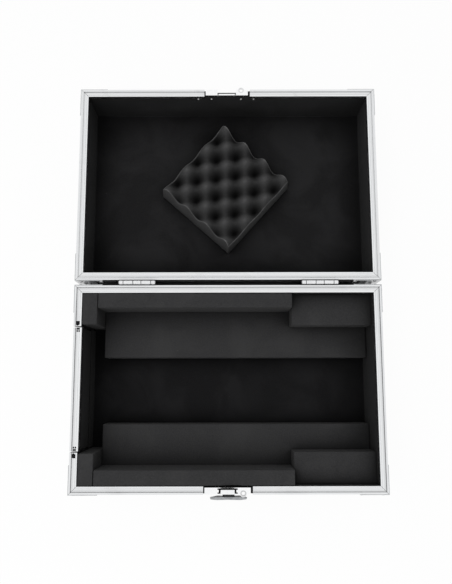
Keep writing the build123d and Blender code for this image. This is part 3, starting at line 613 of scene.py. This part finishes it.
def metalMaterial(name):
    use = {**metalShared, **metalSet[name]}
    material, tree, shader, spot = newMaterial(name + "Metal", metallic=use["metallic"])
    lines = useGroup(tree, "lines", Vector=spot, Stretch=use["stretch"], Contrast=use["lines"])
    marks = handMarks(tree, spot, use)
    worn = wornEdges(tree, spot, use)
    colour = blendColour(tree, use["dark"], use["light"], lines)
    colour = soil(tree, colour, use["stain"], marks, use["markShare"])
    # painted highlight along corners
    colour = soil(tree, colour, use["worn"], worn, use["edgeShare"])
    gapFloor = None
    if name in ("rimAlong", "rimAcross"):
        colour = darken(tree, colour, rimShade(tree, spot, name == "rimAlong", rimFaceSet))
        # the painted shade leaves some light in the grooves of the face, and none on the legs
        # between the two halves
        facing = splitVector(tree, spot.node.outputs["Normal"])[2]
        gapFloor = times(tree, calc(tree, "ABSOLUTE", facing), use["gapFloor"])
    if "eye" in use:
        colour = darken(tree, colour, eyeShade(tree, spot, use))
    if "collar" in use:
        colour = darken(tree, colour, collarShade(tree, spot, use))
    addPaintedShade(tree, shader, colour, use, gapFloor)
    smooth, rough = use["rough"]
    half = (rough - smooth) / 2
    base = remap(tree, lines, 0.0, 1.0, smooth, smooth + half)
    dulled = calc(tree, "MULTIPLY_ADD", marks, half, base)
    tree.links.new(dulled, shader.inputs["Roughness"])
    addBump(tree, shader, lines, use)
    return material


laminateSet = {
    "surface": {"specular": 0.15},
    "colour": (0.013, 0.013, 0.014),
    "dust": (0.05, 0.05, 0.05),
    "scuffAndGlint": (0.11, 0.11, 0.11),
    "grains": 950.0,
    "evenness": 0.6,
    "markScale": 9.0,
    "markCover": 0.5,
    "markShare": 0.35,
    "scuffStretch": (40, 60, 900),
    "scuffContrast": 0.12,
    "scuffShare": 0.16,
    "edgeRadius": 0.7,
    "edgeBreaks": 140.0,
    "edgeShare": 0.7,
    "rough": (0.42, 0.60),
    "bump": 0.35,
    "bumpDepth": 0.15,
    "gap": 30.0,
    "gapFloor": 0.1,
    "shut": 0.1,
}


def laminateMaterial(use):
    material, tree, shader, spot = newMaterial("blackLaminate", **use["surface"])
    grain = useGroup(tree, "grain", Vector=spot, Grains=use["grains"], Evenness=use["evenness"])
    marks = handMarks(tree, spot, use)
    stretch, contrast = use["scuffStretch"], use["scuffContrast"]
    scuffs = useGroup(tree, "lines", Vector=spot, Stretch=stretch, Contrast=contrast)
    worn = wornEdges(tree, spot, use)
    colour = soil(tree, use["colour"], use["dust"], marks, use["markShare"])
    colour = soil(tree, colour, use["scuffAndGlint"], times(tree, scuffs, marks), use["scuffShare"])
    # painted highlight along corners, in the scuff colour
    colour = soil(tree, colour, use["scuffAndGlint"], worn, use["edgeShare"])
    addPaintedShade(tree, shader, colour, use)
    tree.links.new(remap(tree, marks, 0.0, 1.0, *use["rough"]), shader.inputs["Roughness"])
    addBump(tree, shader, grain, use)
    return material


liningSet = {
    "surface": {"roughness": 0.95, "specular": 0.08, "sheen": 0.03},
    "deep": (0.0055, 0.0055, 0.006),
    "raised": (0.0185, 0.0185, 0.019),
    "brushed": (0.026, 0.026, 0.027),
    "lint": (0.10, 0.10, 0.10),
    "fibres": 1500.0,
    "pile": (0.2, 0.75),  # cell values of the deep and the raised colour
    "markScale": 11.0,
    "markCover": 0.7,
    "markShare": 0.45,
    "lintSpread": (70.0, 0.035, 0.12),  # spacing, size and share of the group
    "lintShare": 0.5,
    "bump": 0.6,
    "bumpDepth": 0.5,
    "gap": 85.0,
    "gapFloor": 0.25,
    "shut": 0.42,
}
# painted shade: the base's lining is a darker copy of the lid's, as less light reaches down into
# the base
shadedLiningSet = {
    **liningSet,
    "deep": (0.0045, 0.0045, 0.005),
    "raised": (0.014, 0.014, 0.0145),
    "brushed": (0.020, 0.020, 0.021),
}


def liningMaterial(name, use):
    material, tree, shader, spot = newMaterial(name, **use["surface"])
    pile = placeGroup(tree, "cells", Vector=spot, Cells=use["fibres"])
    marks = handMarks(tree, spot, use)
    lint = lintSpecks(tree, spot, use)
    fibres = remap(tree, pile["Value"], *use["pile"])
    colour = blendColour(tree, use["deep"], use["raised"], fibres)
    colour = soil(tree, colour, use["brushed"], marks, use["markShare"])
    colour = soil(tree, colour, use["lint"], lint, use["lintShare"])
    addPaintedShade(tree, shader, colour, use)
    addBump(tree, shader, pile["Height"], use)
    return material


foamSet = {
    "surface": {"roughness": 0.97, "specular": 0.10, "sheen": 0.04},
    "deep": (0.022, 0.022, 0.023),
    "raised": (0.045, 0.045, 0.046),
    "dusty": (0.058, 0.058, 0.058),
    "pit": (0.0025, 0.0025, 0.0025),
    "paintedLight": (0.085, 0.085, 0.086),
    "edgeHighlight": (0.24, 0.24, 0.24),
    "lint": (0.16, 0.16, 0.16),
    "crestCurve": 1.25,
    "edgeHighlightTo": 1.4,  # painted light value of a whole edge highlight
    "edgeHighlightLeast": 0.35,
    "cells": 1100.0,
    "pile": (0.2, 0.8),
    "markScale": 13.0,
    "markCover": 0.6,
    "markShare": 0.25,
    "lintSpread": (55.0, 0.03, 0.10),
    "lintShare": 0.5,
    "bump": 0.7,
    "bumpDepth": 0.6,
    "gap": 28.0,
    "gapFloor": 0.4,
    "shut": 0.1,
}
# block foam: painted shade reaching further out from the steps between blocks
foamBlockFinish = {**foamSet, "gap": 80.0, "gapFloor": 0.3, "shut": 0.42}


# painted shade in the pits and painted light on the peaks, under the painted edge highlight
def crestColour(tree, grain, paintedLight, edgeHighlight, use):
    top = blendColour(tree, use["pit"], use["paintedLight"], paintedLight)
    low = blendColour(tree, use["pit"], use["raised"], paintedLight)
    return blendColour(tree, blendColour(tree, low, top, grain), use["edgeHighlight"], edgeHighlight)


def foamMaterial(name, use, shaded):
    # shaded foam reads its own piece's painted light attribute, 0 in a pit and 1 on a peak, for
    # painted shade in the pits and painted light on the peaks
    material, tree, shader, spot = newMaterial(name, **use["surface"])
    cells = placeGroup(tree, "cells", Vector=spot, Cells=use["cells"])
    marks = handMarks(tree, spot, use)
    lint = lintSpecks(tree, spot, use)
    grain = remap(tree, cells["Value"], *use["pile"])
    if shaded:
        stored = addNode(tree, "ShaderNodeAttribute", attribute_name="paintedLight").outputs["Fac"]
        # painted highlight along the cut top edge, broken up by the marks
        uneven = remap(tree, marks, 0.0, 1.0, use["edgeHighlightLeast"], 1.0)
        edgeHighlight = times(tree, remap(tree, stored, 1.0, use["edgeHighlightTo"]), uneven)
        paintedLight = calc(tree, "POWER", calc(tree, "MINIMUM", stored, 1.0), use["crestCurve"])
        # dust is held back in the pits so that their painted shade stays dark
        marks = times(tree, marks, paintedLight)
        colour = crestColour(tree, grain, paintedLight, edgeHighlight, use)
    else:
        colour = blendColour(tree, use["deep"], use["raised"], grain)
    colour = soil(tree, colour, use["dusty"], marks, use["markShare"])
    colour = soil(tree, colour, use["lint"], lint, use["lintShare"])
    addPaintedShade(tree, shader, colour, use)
    addBump(tree, shader, cells["Height"], use)
    return material


rubberSet = {
    "surface": {"specular": 0.35},
    "colour": (0.016, 0.016, 0.016),
    "dust": (0.06, 0.058, 0.055),
    "grains": 1300.0,
    "evenness": 0.4,
    "markScale": 40.0,
    "markCover": 0.6,
    "markShare": 0.4,
    "edgeRadius": 0.6,
    "edgeBreaks": 200.0,
    "edgeShare": 0.5,
    "rough": (0.52, 0.75),
    "bump": 0.4,
    "bumpDepth": 0.1,
}


def rubberMaterial(use):
    material, tree, shader, spot = newMaterial("matteRubber", **use["surface"])
    grain = useGroup(tree, "grain", Vector=spot, Grains=use["grains"], Evenness=use["evenness"])
    marks = handMarks(tree, spot, use)
    worn = wornEdges(tree, spot, use)
    colour = soil(tree, use["colour"], use["dust"], marks, use["markShare"])
    # painted highlight along corners, in the dust colour
    colour = soil(tree, colour, use["dust"], worn, use["edgeShare"])
    tree.links.new(colour, shader.inputs["Base Color"])
    tree.links.new(remap(tree, marks, 0.0, 1.0, *use["rough"]), shader.inputs["Roughness"])
    addBump(tree, shader, grain, use)
    return material


materials = {name: metalMaterial(name) for name in metalSet}
materials["laminate"] = laminateMaterial(laminateSet)
materials["lining"] = liningMaterial("litPile", liningSet)
materials["baseLining"] = liningMaterial("shadedPile", shadedLiningSet)
materials["foam"] = foamMaterial("cutFoam", foamBlockFinish, False)
materials["crate"] = foamMaterial("crateFoam", foamSet, True)
materials["rubber"] = rubberMaterial(rubberSet)
print("materials:", len(materials))

nodeFinish = {
    "laminate": "laminated_plywood",
    "rubber": "black_rubber",
    "rivets": "rivet_steel",
    "plated": "plated_steel",
}
runsAlongX = ("front", "back")
pressedNodes = ("ball_corners", "dish", "handle_plate")
ownFinish = {
    "latch_wing": "cast",
    "latch_dish": "dished",
    "keeper_dish": "kept",
    "keeper_plate": "kept",
    "latch_carriage": "dished",
    "hinge_base_leaves": "hinged",
    "hinge_lid_leaves": "hinged",
    "hinge_pins": "hinged",
    "base_corner_braces": "braces",
    "lid_corner_braces": "braces",
}


def finishName(node, cadSlot):
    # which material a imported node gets, from its slot and the way it runs
    if cadSlot == "rim_aluminium":
        return "rimAlong" if node.endswith(runsAlongX) else "rimAcross"
    if cadSlot == "edge_aluminium":
        if "corner" in node:
            return "edgeUpright"
        return "edgeAlong" if "long" in node else "edgeAcross"
    if node in ownFinish:
        return ownFinish[node]
    if any(word in node for word in pressedNodes):
        return "pressed"
    return next((name for name, given in nodeFinish.items() if given == cadSlot), None)


def dressNodes():
    slots = {part["node"]: part["material_slot"] for part in frame["record"]["subparts"]}
    for node, obj in nodes.items():
        finish = finishName(node, slots[node])
        if finish:
            for place in obj.material_slots:
                place.material = materials[finish]


dressNodes()
print("packed nodes dressed")


# Pieces

def finishPiece(mesh, name, body, material, replaced):
    piece = bpy.data.objects.new(name, mesh)
    bpy.context.scene.collection.objects.link(piece)
    mesh.materials.clear()
    mesh.materials.append(material)
    for face in mesh.polygons:
        face.use_smooth = True
    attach(piece, body)
    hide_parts(*replaced)
    return piece


def meshFrom(shape, name):
    mesh = bpy.data.meshes.new(name)
    shape.to_mesh(mesh)
    shape.free()
    return mesh


def spacedRow(low, high, radius, cell, rings):
    # places along one side of a block: close together at its rounded ends, even between
    bend = [radius * (1 - math.tan(math.pi / 4 * (rings - k) / rings)) for k in range(rings + 1)]
    inner = high - low - 2 * radius
    count = max(round(inner / cell), 1)
    between = [low + radius + inner * k / count for k in range(1, count)]
    return [low + b for b in bend] + between + [high - b for b in reversed(bend)]


def latticeShell(rows):
    # closed box of quads over three rows of places
    shape = bmesh.new()
    found = {}
    last = [len(row) - 1 for row in rows]
    for axis in range(3):
        across, along = (axis + 1) % 3, (axis + 2) % 3
        for side in (0, last[axis]):
            for a in range(last[across]):
                for b in range(last[along]):
                    square = []
                    for stepA, stepB in ((0, 0), (1, 0), (1, 1), (0, 1)):
                        key = [0, 0, 0]
                        key[axis], key[across], key[along] = side, a + stepA, b + stepB
                        key = tuple(key)
                        if key not in found:
                            found[key] = shape.verts.new([row[k] for row, k in zip(rows, key)])
                        square.append(found[key])
                    shape.faces.new(square if side else reversed(square))
    return shape


foamBlockSet = {
    "radius": 1.7 * mm,
    "cell": 6 * mm,
    "rings": 3,
    "sway": 0.45 * mm,  # slow waves left by the knife, always inwards
    "swaySize": 26.0,  # waves per metre
    "nick": 0.18 * mm,
    "nickSize": 170.0,
    "seedShift": (7.3, 3.1, 5.7),  # metres that one seed moves the waves
    "facing": 0.5,  # least cosine between a side's own way and a point's
}
latchDent = {
    "node": "foam_front_long",
    "x": caseMiddle.x + 7 * mm,
    "reach": 9 * mm,
    "depth": 2.2 * mm,
}


def dentDepth(node, spot, high):
    # the foam behind the latch is pushed in a little at its top front edge
    if node != latchDent["node"]:
        return 0.0
    away = (spot.x - latchDent["x"]) / latchDent["reach"]
    down = (high.z - spot.z) / latchDent["reach"]
    return latchDent["depth"] * math.exp(-away * away - down * down)


def foamMesh(node, use, seed):
    low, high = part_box(node)
    radius = use["radius"]
    rows = [spacedRow(low[k], high[k], radius, use["cell"], use["rings"]) for k in range(3)]
    shape = latticeShell(rows)
    inset = Vector((radius,) * 3)
    shift = Vector([seed * part for part in use["seedShift"]])
    for vert in shape.verts:
        limits = zip(vert.co, low + inset, high - inset)
        core = Vector([min(max(place, least), most) for place, least, most in limits])
        outward = (vert.co - core).normalized()
        spot = core + outward * radius
        slow = 0.5 + 0.5 * noise.noise(spot * use["swaySize"] + shift)
        quick = 0.5 + 0.5 * noise.noise(spot * use["nickSize"] + shift)
        depth = use["sway"] * slow + use["nick"] * quick
        if outward.z < -use["facing"]:
            depth = 0.0  # it lies flat on what is under it
        if outward.y < -use["facing"]:
            depth += dentDepth(node, spot, high)
        vert.co = spot - outward * depth
    return meshFrom(shape, node)


def buildFoamBlocks():
    blocks = [node for node in sorted(nodes) if node.startswith("foam_")]
    for seed, node in enumerate(blocks):
        mesh = foamMesh(node, foamBlockSet, seed)
        name = "soft_" + node
        piece = finishPiece(mesh, name, "base", materials["foam"], [node])
    return len(blocks)


print("foam blocks:", buildFoamBlocks())

flapPadSet = {
    **foamBlockSet,
    "radius": 1.4 * mm,
    "cell": 5 * mm,
    "sway": 0.3 * mm,
    "seed": 31,
}


def buildFlapPad(use):
    node = "flap_lining"
    mesh = foamMesh(node, use, use["seed"])
    material = materials["baseLining"]
    piece = finishPiece(mesh, "flap_pad", "flap", material, [node])


buildFlapPad(flapPadSet)
print("flap pad")

mergeReach = 0.002 * mm
liningShapeSet = {
    "flat": math.radians(1),
    "creased": -0.5,  # signed angle of an inner crease, in radians
    "crease": 1.5 * mm,
    "steps": 4,
}


def buildLining(node, name, body, material, use):
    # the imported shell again, with its inner creases filled as glued cloth fills them
    shape = bmesh.new()
    shape.from_mesh(nodes[node].data)
    bmesh.ops.remove_doubles(shape, verts=shape.verts, dist=mergeReach)
    limits = {"verts": shape.verts, "edges": shape.edges}
    bmesh.ops.dissolve_limit(shape, angle_limit=use["flat"], **limits)
    shape.normal_update()
    joined = [edge for edge in shape.edges if len(edge.link_faces) == 2]
    creases = [edge for edge in joined if edge.calc_face_angle_signed() < use["creased"]]
    bmesh.ops.bevel(
        shape,
        geom=creases,
        offset=use["crease"],
        offset_type="OFFSET",
        segments=use["steps"],
        profile=0.5,
        affect="EDGES",
        clamp_overlap=True,
    )
    mesh = meshFrom(shape, name)
    piece = finishPiece(mesh, name, body, material, [node])
    for face in mesh.polygons:
        face.use_smooth = False
    return piece


for body, look in (("base", "baseLining"), ("lid", "lining")):
    name = body + "_pile_lining"
    buildLining(body + "_lining", name, body, materials[look], liningShapeSet)
print("linings")


# Geometry Nodes

def newGeometryTree(name, sizes, material):
    tree = bpy.data.node_groups.new(name, "GeometryNodeTree")
    newSocket, shape = tree.interface.new_socket, "NodeSocketGeometry"
    newSocket(name="Geometry", in_out="INPUT", socket_type=shape)
    for label, value in sizes.items():
        kind = "NodeSocketInt" if isinstance(value, int) else "NodeSocketFloat"
        newSocket(name=label, in_out="INPUT", socket_type=kind)
    newSocket(name="Geometry", in_out="OUTPUT", socket_type=shape)
    given = tree.nodes.new("NodeGroupInput").outputs
    real = tree.nodes.new("GeometryNodeRealizeInstances")
    coat = tree.nodes.new("GeometryNodeSetMaterial")
    coat.inputs["Material"].default_value = material
    tree.links.new(real.outputs[0], coat.inputs["Geometry"])
    end = tree.nodes.new("NodeGroupOutput")
    tree.links.new(coat.outputs[0], end.inputs[0])
    return tree, given, real.inputs[0]


def growMesh(start, tree, sizes, name):
    # the tree's result on a start mesh, as a plain mesh with no modifier left
    holder = bpy.data.objects.new(name + "Start", start)
    bpy.context.scene.collection.objects.link(holder)
    modifier = holder.modifiers.new("grow", "NODES")
    modifier.node_group = tree
    for item in tree.interface.items_tree:
        if item.in_out == "INPUT" and item.name in sizes:
            modifier[item.identifier] = sizes[item.name]
    bpy.context.view_layer.update()
    graph = bpy.context.evaluated_depsgraph_get()
    mesh = bpy.data.meshes.new_from_object(holder.evaluated_get(graph))
    mesh.name = name
    holder.modifiers.remove(modifier)
    bpy.data.objects.remove(holder)
    return mesh


def dotMesh(name):
    mesh = bpy.data.meshes.new(name)
    mesh.from_pydata([(0, 0, 0)], [], [])
    return mesh


# Egg-crate foam in the lid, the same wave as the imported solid

crateSizes = {
    "Length": 158 * mm,
    "Width": 162 * mm,
    "Pitch Along": 23.0 * mm,
    "Pitch Across": 26.7 * mm,
    "Middle": 38 * mm,
    "Relief": 15 * mm,
    "Pit Along": 22.2 * mm,
    "Pit Across": 1.1 * mm,
    "Sway": 1.2 * mm,
    "Flare": 1.8 * mm,
    "Lean": 3.6 * mm,  # how far the top of the front side lies back
    "Edge Highlight": 1.35,  # painted light value along the cut top edge: a painted highlight
    "Foot Light": 0.6,  # painted light at the foot of the sides, which are painted darker towards it
    "Sway Scale": 22.0,
    "Sway Detail": 2.0,
    "Slant Ends": 12.0,
    "Top From": 0.999,
    "Edge From": 0.499,
    "Cells Along": 82,
    "Cells Across": 84,
    "Cells Up": 14,
    "Seed": 11,
}
crateTurn = math.radians(-41.85)


def crateTree(material):
    tree, given, out = newGeometryTree("convolutedPad", crateSizes, material)
    blank = addNode(
        tree,
        "GeometryNodeMeshCube",
        {
            "Size": joinVector(tree, given["Length"], given["Width"], 1.0),
            "Vertices X": given["Cells Along"],
            "Vertices Y": given["Cells Across"],
            "Vertices Z": given["Cells Up"],
        },
    )
    place = addNode(tree, "GeometryNodeInputPosition").outputs[0]
    part = splitVector(tree, place)

    def wave(spot, pit, pitch):
        steps = calc(tree, "DIVIDE", minus(tree, spot, pit), pitch)
        return calc(tree, "COSINE", times(tree, steps, math.pi))

    up = calc(tree, "ADD", part[2], 0.5)

    # slow sway of the cut sides, held in so that the pad never grows
    sway = addNode(
        tree,
        "ShaderNodeTexNoise",
        {
            "Vector": place,
            "W": given["Seed"],
            "Scale": given["Sway Scale"],
            "Detail": given["Sway Detail"],
        },
        noise_dimensions="4D",
    ).outputs["Color"]
    parts = splitVector(tree, sway)

    def drawnIn(spot, size, amount, lean):
        # the sides lean out a little towards the foot, as a slanting cut leaves them
        swayed = times(tree, calc(tree, "MULTIPLY_ADD", given["Sway"], amount, lean), up)
        leaning = times(tree, given["Flare"], minus(tree, 1.0, up))
        change = calc(tree, "DIVIDE", minus(tree, leaning, swayed), size)
        return times(tree, spot, calc(tree, "MULTIPLY_ADD", change, 2.0, 1.0))

    # the front side was cut at a slant between its two corners
    offMiddle = [calc(tree, "ABSOLUTE", part[k]) for k in (0, 1)]
    share = calc(tree, "DIVIDE", offMiddle[0], times(tree, given["Length"], 0.5))
    between = minus(tree, 1.0, calc(tree, "POWER", share, given["Slant Ends"]))
    inFront = calc(tree, "LESS_THAN", part[1], 0.0)
    lean = times(tree, times(tree, given["Lean"], between), inFront)

    along = drawnIn(part[0], given["Length"], parts[0], 0.0)
    across = drawnIn(part[1], given["Width"], parts[1], lean)
    waveAlong = wave(along, given["Pit Along"], given["Pitch Along"])
    waveAcross = wave(across, given["Pit Across"], given["Pitch Across"])
    both = times(tree, waveAlong, waveAcross)
    top = minus(tree, given["Middle"], times(tree, both, given["Relief"]))
    moved = joinVector(tree, along, across, times(tree, up, top))
    # painted light: 1 on a peak and 0 in a pit
    paintedLight = remap(tree, times(tree, both, -1.0), -1.0, 1.0)
    onTop = calc(tree, "GREATER_THAN", up, given["Top From"])
    # painted shade on the sides, darker towards the foot
    side = remap(tree, up, 0.0, 1.0, given["Foot Light"], 1.0)
    choice = {"Switch": onTop, "False": side, "True": paintedLight}
    shade = addNode(tree, "GeometryNodeSwitch", choice, input_type="FLOAT").outputs[0]
    # painted highlight along the cut edge of the top
    offEnd = minus(tree, offMiddle[0], times(tree, given["Length"], given["Edge From"]))
    offSide = minus(tree, offMiddle[1], times(tree, given["Width"], given["Edge From"]))
    atEdge = calc(tree, "GREATER_THAN", calc(tree, "MAXIMUM", offEnd, offSide), 0.0)
    edgeHighlight = times(tree, times(tree, atEdge, onTop), given["Edge Highlight"])
    shade = calc(tree, "MAXIMUM", shade, edgeHighlight)
    marked = addNode(
        tree,
        "GeometryNodeStoreNamedAttribute",
        {"Geometry": blank.outputs["Mesh"], "Name": "paintedLight", "Value": shade},
        data_type="FLOAT",
        domain="POINT",
    )
    placed = {"Geometry": marked.outputs[0], "Position": moved}
    shaped = addNode(tree, "GeometryNodeSetPosition", placed)
    tree.links.new(shaped.outputs[0], out)
    return tree


def buildCrate():
    node, name = "egg_crate_foam", "egg_crate_pad"
    material = materials["crate"]
    mesh = growMesh(dotMesh("crateDot"), crateTree(material), crateSizes, name)
    low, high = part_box(node)
    middle = Matrix.Translation(((low.x + high.x) / 2, (low.y + high.y) / 2, low.z))
    mesh.transform(middle @ Matrix.Rotation(crateTurn, 4, "Z"))
    piece = finishPiece(mesh, name, "lid", material, [node])


buildCrate()
print("egg-crate pad")

# Rivets: one pressed head, set where each packed rivet is

rivetSizes = {
    "Pit Radius": 0.36,  # shares of the head's own radius and height
    "Pit Depth": 0.35,
    "Crown": 0.62,
    "Pit Floor": 0.4,  # share of the pit's radius
    "Most Turn": 6.283,
    "Rings": 8,
    "Sides": 14,
    "Seed": 5,
}


def rivetTree(material):
    tree, given, out = newGeometryTree("pressedRivets", rivetSizes, material)
    ball = addNode(
        tree,
        "GeometryNodeMeshUVSphere",
        {"Segments": given["Sides"], "Rings": given["Rings"], "Radius": 1.0},
    )
    place = addNode(tree, "GeometryNodeInputPosition").outputs[0]
    part = splitVector(tree, place)
    squares = [times(tree, part[k], part[k]) for k in (0, 1)]
    away = calc(tree, "SQRT", calc(tree, "ADD", *squares))
    dome = calc(tree, "POWER", calc(tree, "MAXIMUM", part[2], 0.0), given["Crown"])
    pitFloor = times(tree, given["Pit Radius"], given["Pit Floor"])
    hollow = remap(tree, away, given["Pit Radius"], pitFloor)
    sunk = times(tree, times(tree, hollow, given["Pit Depth"]), calc(tree, "SIGN", dome))
    moved = joinVector(tree, part[0], part[1], minus(tree, dome, sunk))
    placed = {"Geometry": ball.outputs["Mesh"], "Position": moved}
    head = addNode(tree, "GeometryNodeSetPosition", placed)

    def readVector(name):
        kind = "GeometryNodeInputNamedAttribute"
        return addNode(tree, kind, {"Name": name}, data_type="FLOAT_VECTOR").outputs[0]

    facing = {"Vector": readVector("facing")}
    aimed = addNode(tree, "FunctionNodeAlignRotationToVector", facing, axis="Z")
    spread = {"Min": 0.0, "Max": given["Most Turn"], "Seed": given["Seed"]}
    spin = addNode(tree, "FunctionNodeRandomValue", spread, data_type="FLOAT")
    spun = joinVector(tree, 0.0, 0.0, spin.outputs[1])
    both = {"Rotation": aimed.outputs[0], "Rotate By": spun}
    turned = addNode(tree, "FunctionNodeRotateRotation", both, rotation_space="LOCAL")
    dots = addNode(tree, "GeometryNodeMeshToPoints", {"Mesh": given["Geometry"]})
    heads = addNode(
        tree,
        "GeometryNodeInstanceOnPoints",
        {
            "Points": dots.outputs[0],
            "Instance": head.outputs[0],
            "Rotation": turned.outputs[0],
            "Scale": readVector("headSize"),
        },
    )
    tree.links.new(heads.outputs[0], out)
    return tree


def islands(shape):
    left = set(shape.verts)
    while left:
        reached = [left.pop()]
        group = []
        while reached:
            vert = reached.pop()
            group.append(vert.co.copy())
            for edge in vert.link_edges:
                other = edge.other_vert(vert)
                if other in left:
                    left.remove(other)
                    reached.append(other)
        yield group


rimShare = 0.97  # share of a rivet's radius beyond which a point is on its rim


def rivetSeats(node):
    # seat, facing and size of each packed rivet, from its own small island
    shape = bmesh.new()
    shape.from_mesh(nodes[node].data)
    bmesh.ops.remove_doubles(shape, verts=shape.verts, dist=mergeReach)
    seats = []
    for group in islands(shape):
        low = Vector([min(co[k] for co in group) for k in range(3)])
        high = Vector([max(co[k] for co in group) for k in range(3)])
        size, middle = high - low, (high + low) / 2
        axis = min(range(3), key=lambda k: size[k])
        radius = max(size) / 2
        flat = [co - middle for co in group]
        for co in flat:
            co[axis] = 0
        far = rimShare * radius
        rim = [co[axis] for co, spread in zip(group, flat) if spread.length > far]
        side = -1 if sum(rim) / len(rim) > middle[axis] else 1
        facing = Vector((0, 0, 0))
        facing[axis] = side
        seat = middle.copy()
        seat[axis] = low[axis] if side > 0 else high[axis]
        seats.append((seat, facing, Vector((radius, radius, size[axis]))))
    shape.free()
    return sorted(seats, key=lambda seat: tuple(seat[0]))


def buildRivets(node, name, body, tree):
    seats = rivetSeats(node)
    mesh = bpy.data.meshes.new(name + "Seats")
    mesh.from_pydata([seat for seat, _, _ in seats], [], [])
    for label, column in (("facing", 1), ("headSize", 2)):
        values = mesh.attributes.new(label, "FLOAT_VECTOR", "POINT").data
        for value, seat in zip(values, seats):
            value.vector = seat[column]
    grown = growMesh(mesh, tree, rivetSizes, name)
    finishPiece(grown, name, body, materials["rivets"], [node])
    return len(seats)


sharedRivetTree = rivetTree(materials["rivets"])
for body in ("base", "lid"):
    count = buildRivets(body + "_rivets", body + "_rivet_heads", body, sharedRivetTree)
    print("rivets:", count)

# Handle grip: moulded rubber with ribs round it

gripSizes = {
    "Length": 66 * mm,
    "Radius": 6.3 * mm,
    "Waist": 0.86,
    "Rib Depth": 0.55 * mm,
    "Ribs": 15.0,
    "End Curve": 40.0,
    "End Least": 0.3,
    "Steps": 181,
    "Sides": 28,
}


def gripTree(material):
    tree, given, out = newGeometryTree("ribbedGrip", gripSizes, material)
    half = times(tree, given["Length"], 0.5)
    start = joinVector(tree, 0.0, times(tree, half, -1.0))
    ends = {"Start": start, "End": joinVector(tree, 0.0, half)}
    line = addNode(tree, "GeometryNodeCurvePrimitiveLine", ends)
    parted = {"Curve": line.outputs[0], "Count": given["Steps"]}
    steps = addNode(tree, "GeometryNodeResampleCurve", parted)
    along = addNode(tree, "GeometryNodeSplineParameter").outputs["Factor"]
    bulge = calc(tree, "SINE", times(tree, along, math.pi))
    shaped = remap(tree, bulge, 0.0, 1.0, given["Waist"], 1.0)
    wave = calc(tree, "COSINE", times(tree, times(tree, along, given["Ribs"]), 2 * math.pi))
    ribbed = times(tree, calc(tree, "MULTIPLY_ADD", wave, 0.5, 0.5), given["Rib Depth"])
    away = calc(tree, "ABSOLUTE", calc(tree, "MULTIPLY_ADD", along, 2.0, -1.0))
    rounded = minus(tree, 1.0, calc(tree, "POWER", away, given["End Curve"]))
    narrowed = calc(tree, "SQRT", calc(tree, "MAXIMUM", rounded, given["End Least"]))
    inner = minus(tree, times(tree, given["Radius"], shaped), ribbed)
    widths = {"Curve": steps.outputs[0], "Radius": times(tree, inner, narrowed)}
    wide = addNode(tree, "GeometryNodeSetCurveRadius", widths)
    circle = {"Resolution": given["Sides"], "Radius": 1.0}
    ring = addNode(tree, "GeometryNodeCurvePrimitiveCircle", circle)
    skin = addNode(
        tree,
        "GeometryNodeCurveToMesh",
        {
            "Curve": wide.outputs[0],
            "Profile Curve": ring.outputs[0],
            "Fill Caps": True,
            "Scale": addNode(tree, "GeometryNodeInputRadius").outputs[0],
        },
    )
    tree.links.new(skin.outputs[0], out)
    return tree


def buildGrip():
    node, name = "handle_grip", "ribbed_grip"
    material = materials["rubber"]
    mesh = growMesh(dotMesh("gripDot"), gripTree(material), gripSizes, name)
    low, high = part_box(node)
    mesh.transform(Matrix.Translation((low + high) / 2))
    finishPiece(mesh, name, "handle", material, [node])


buildGrip()
print("grip")
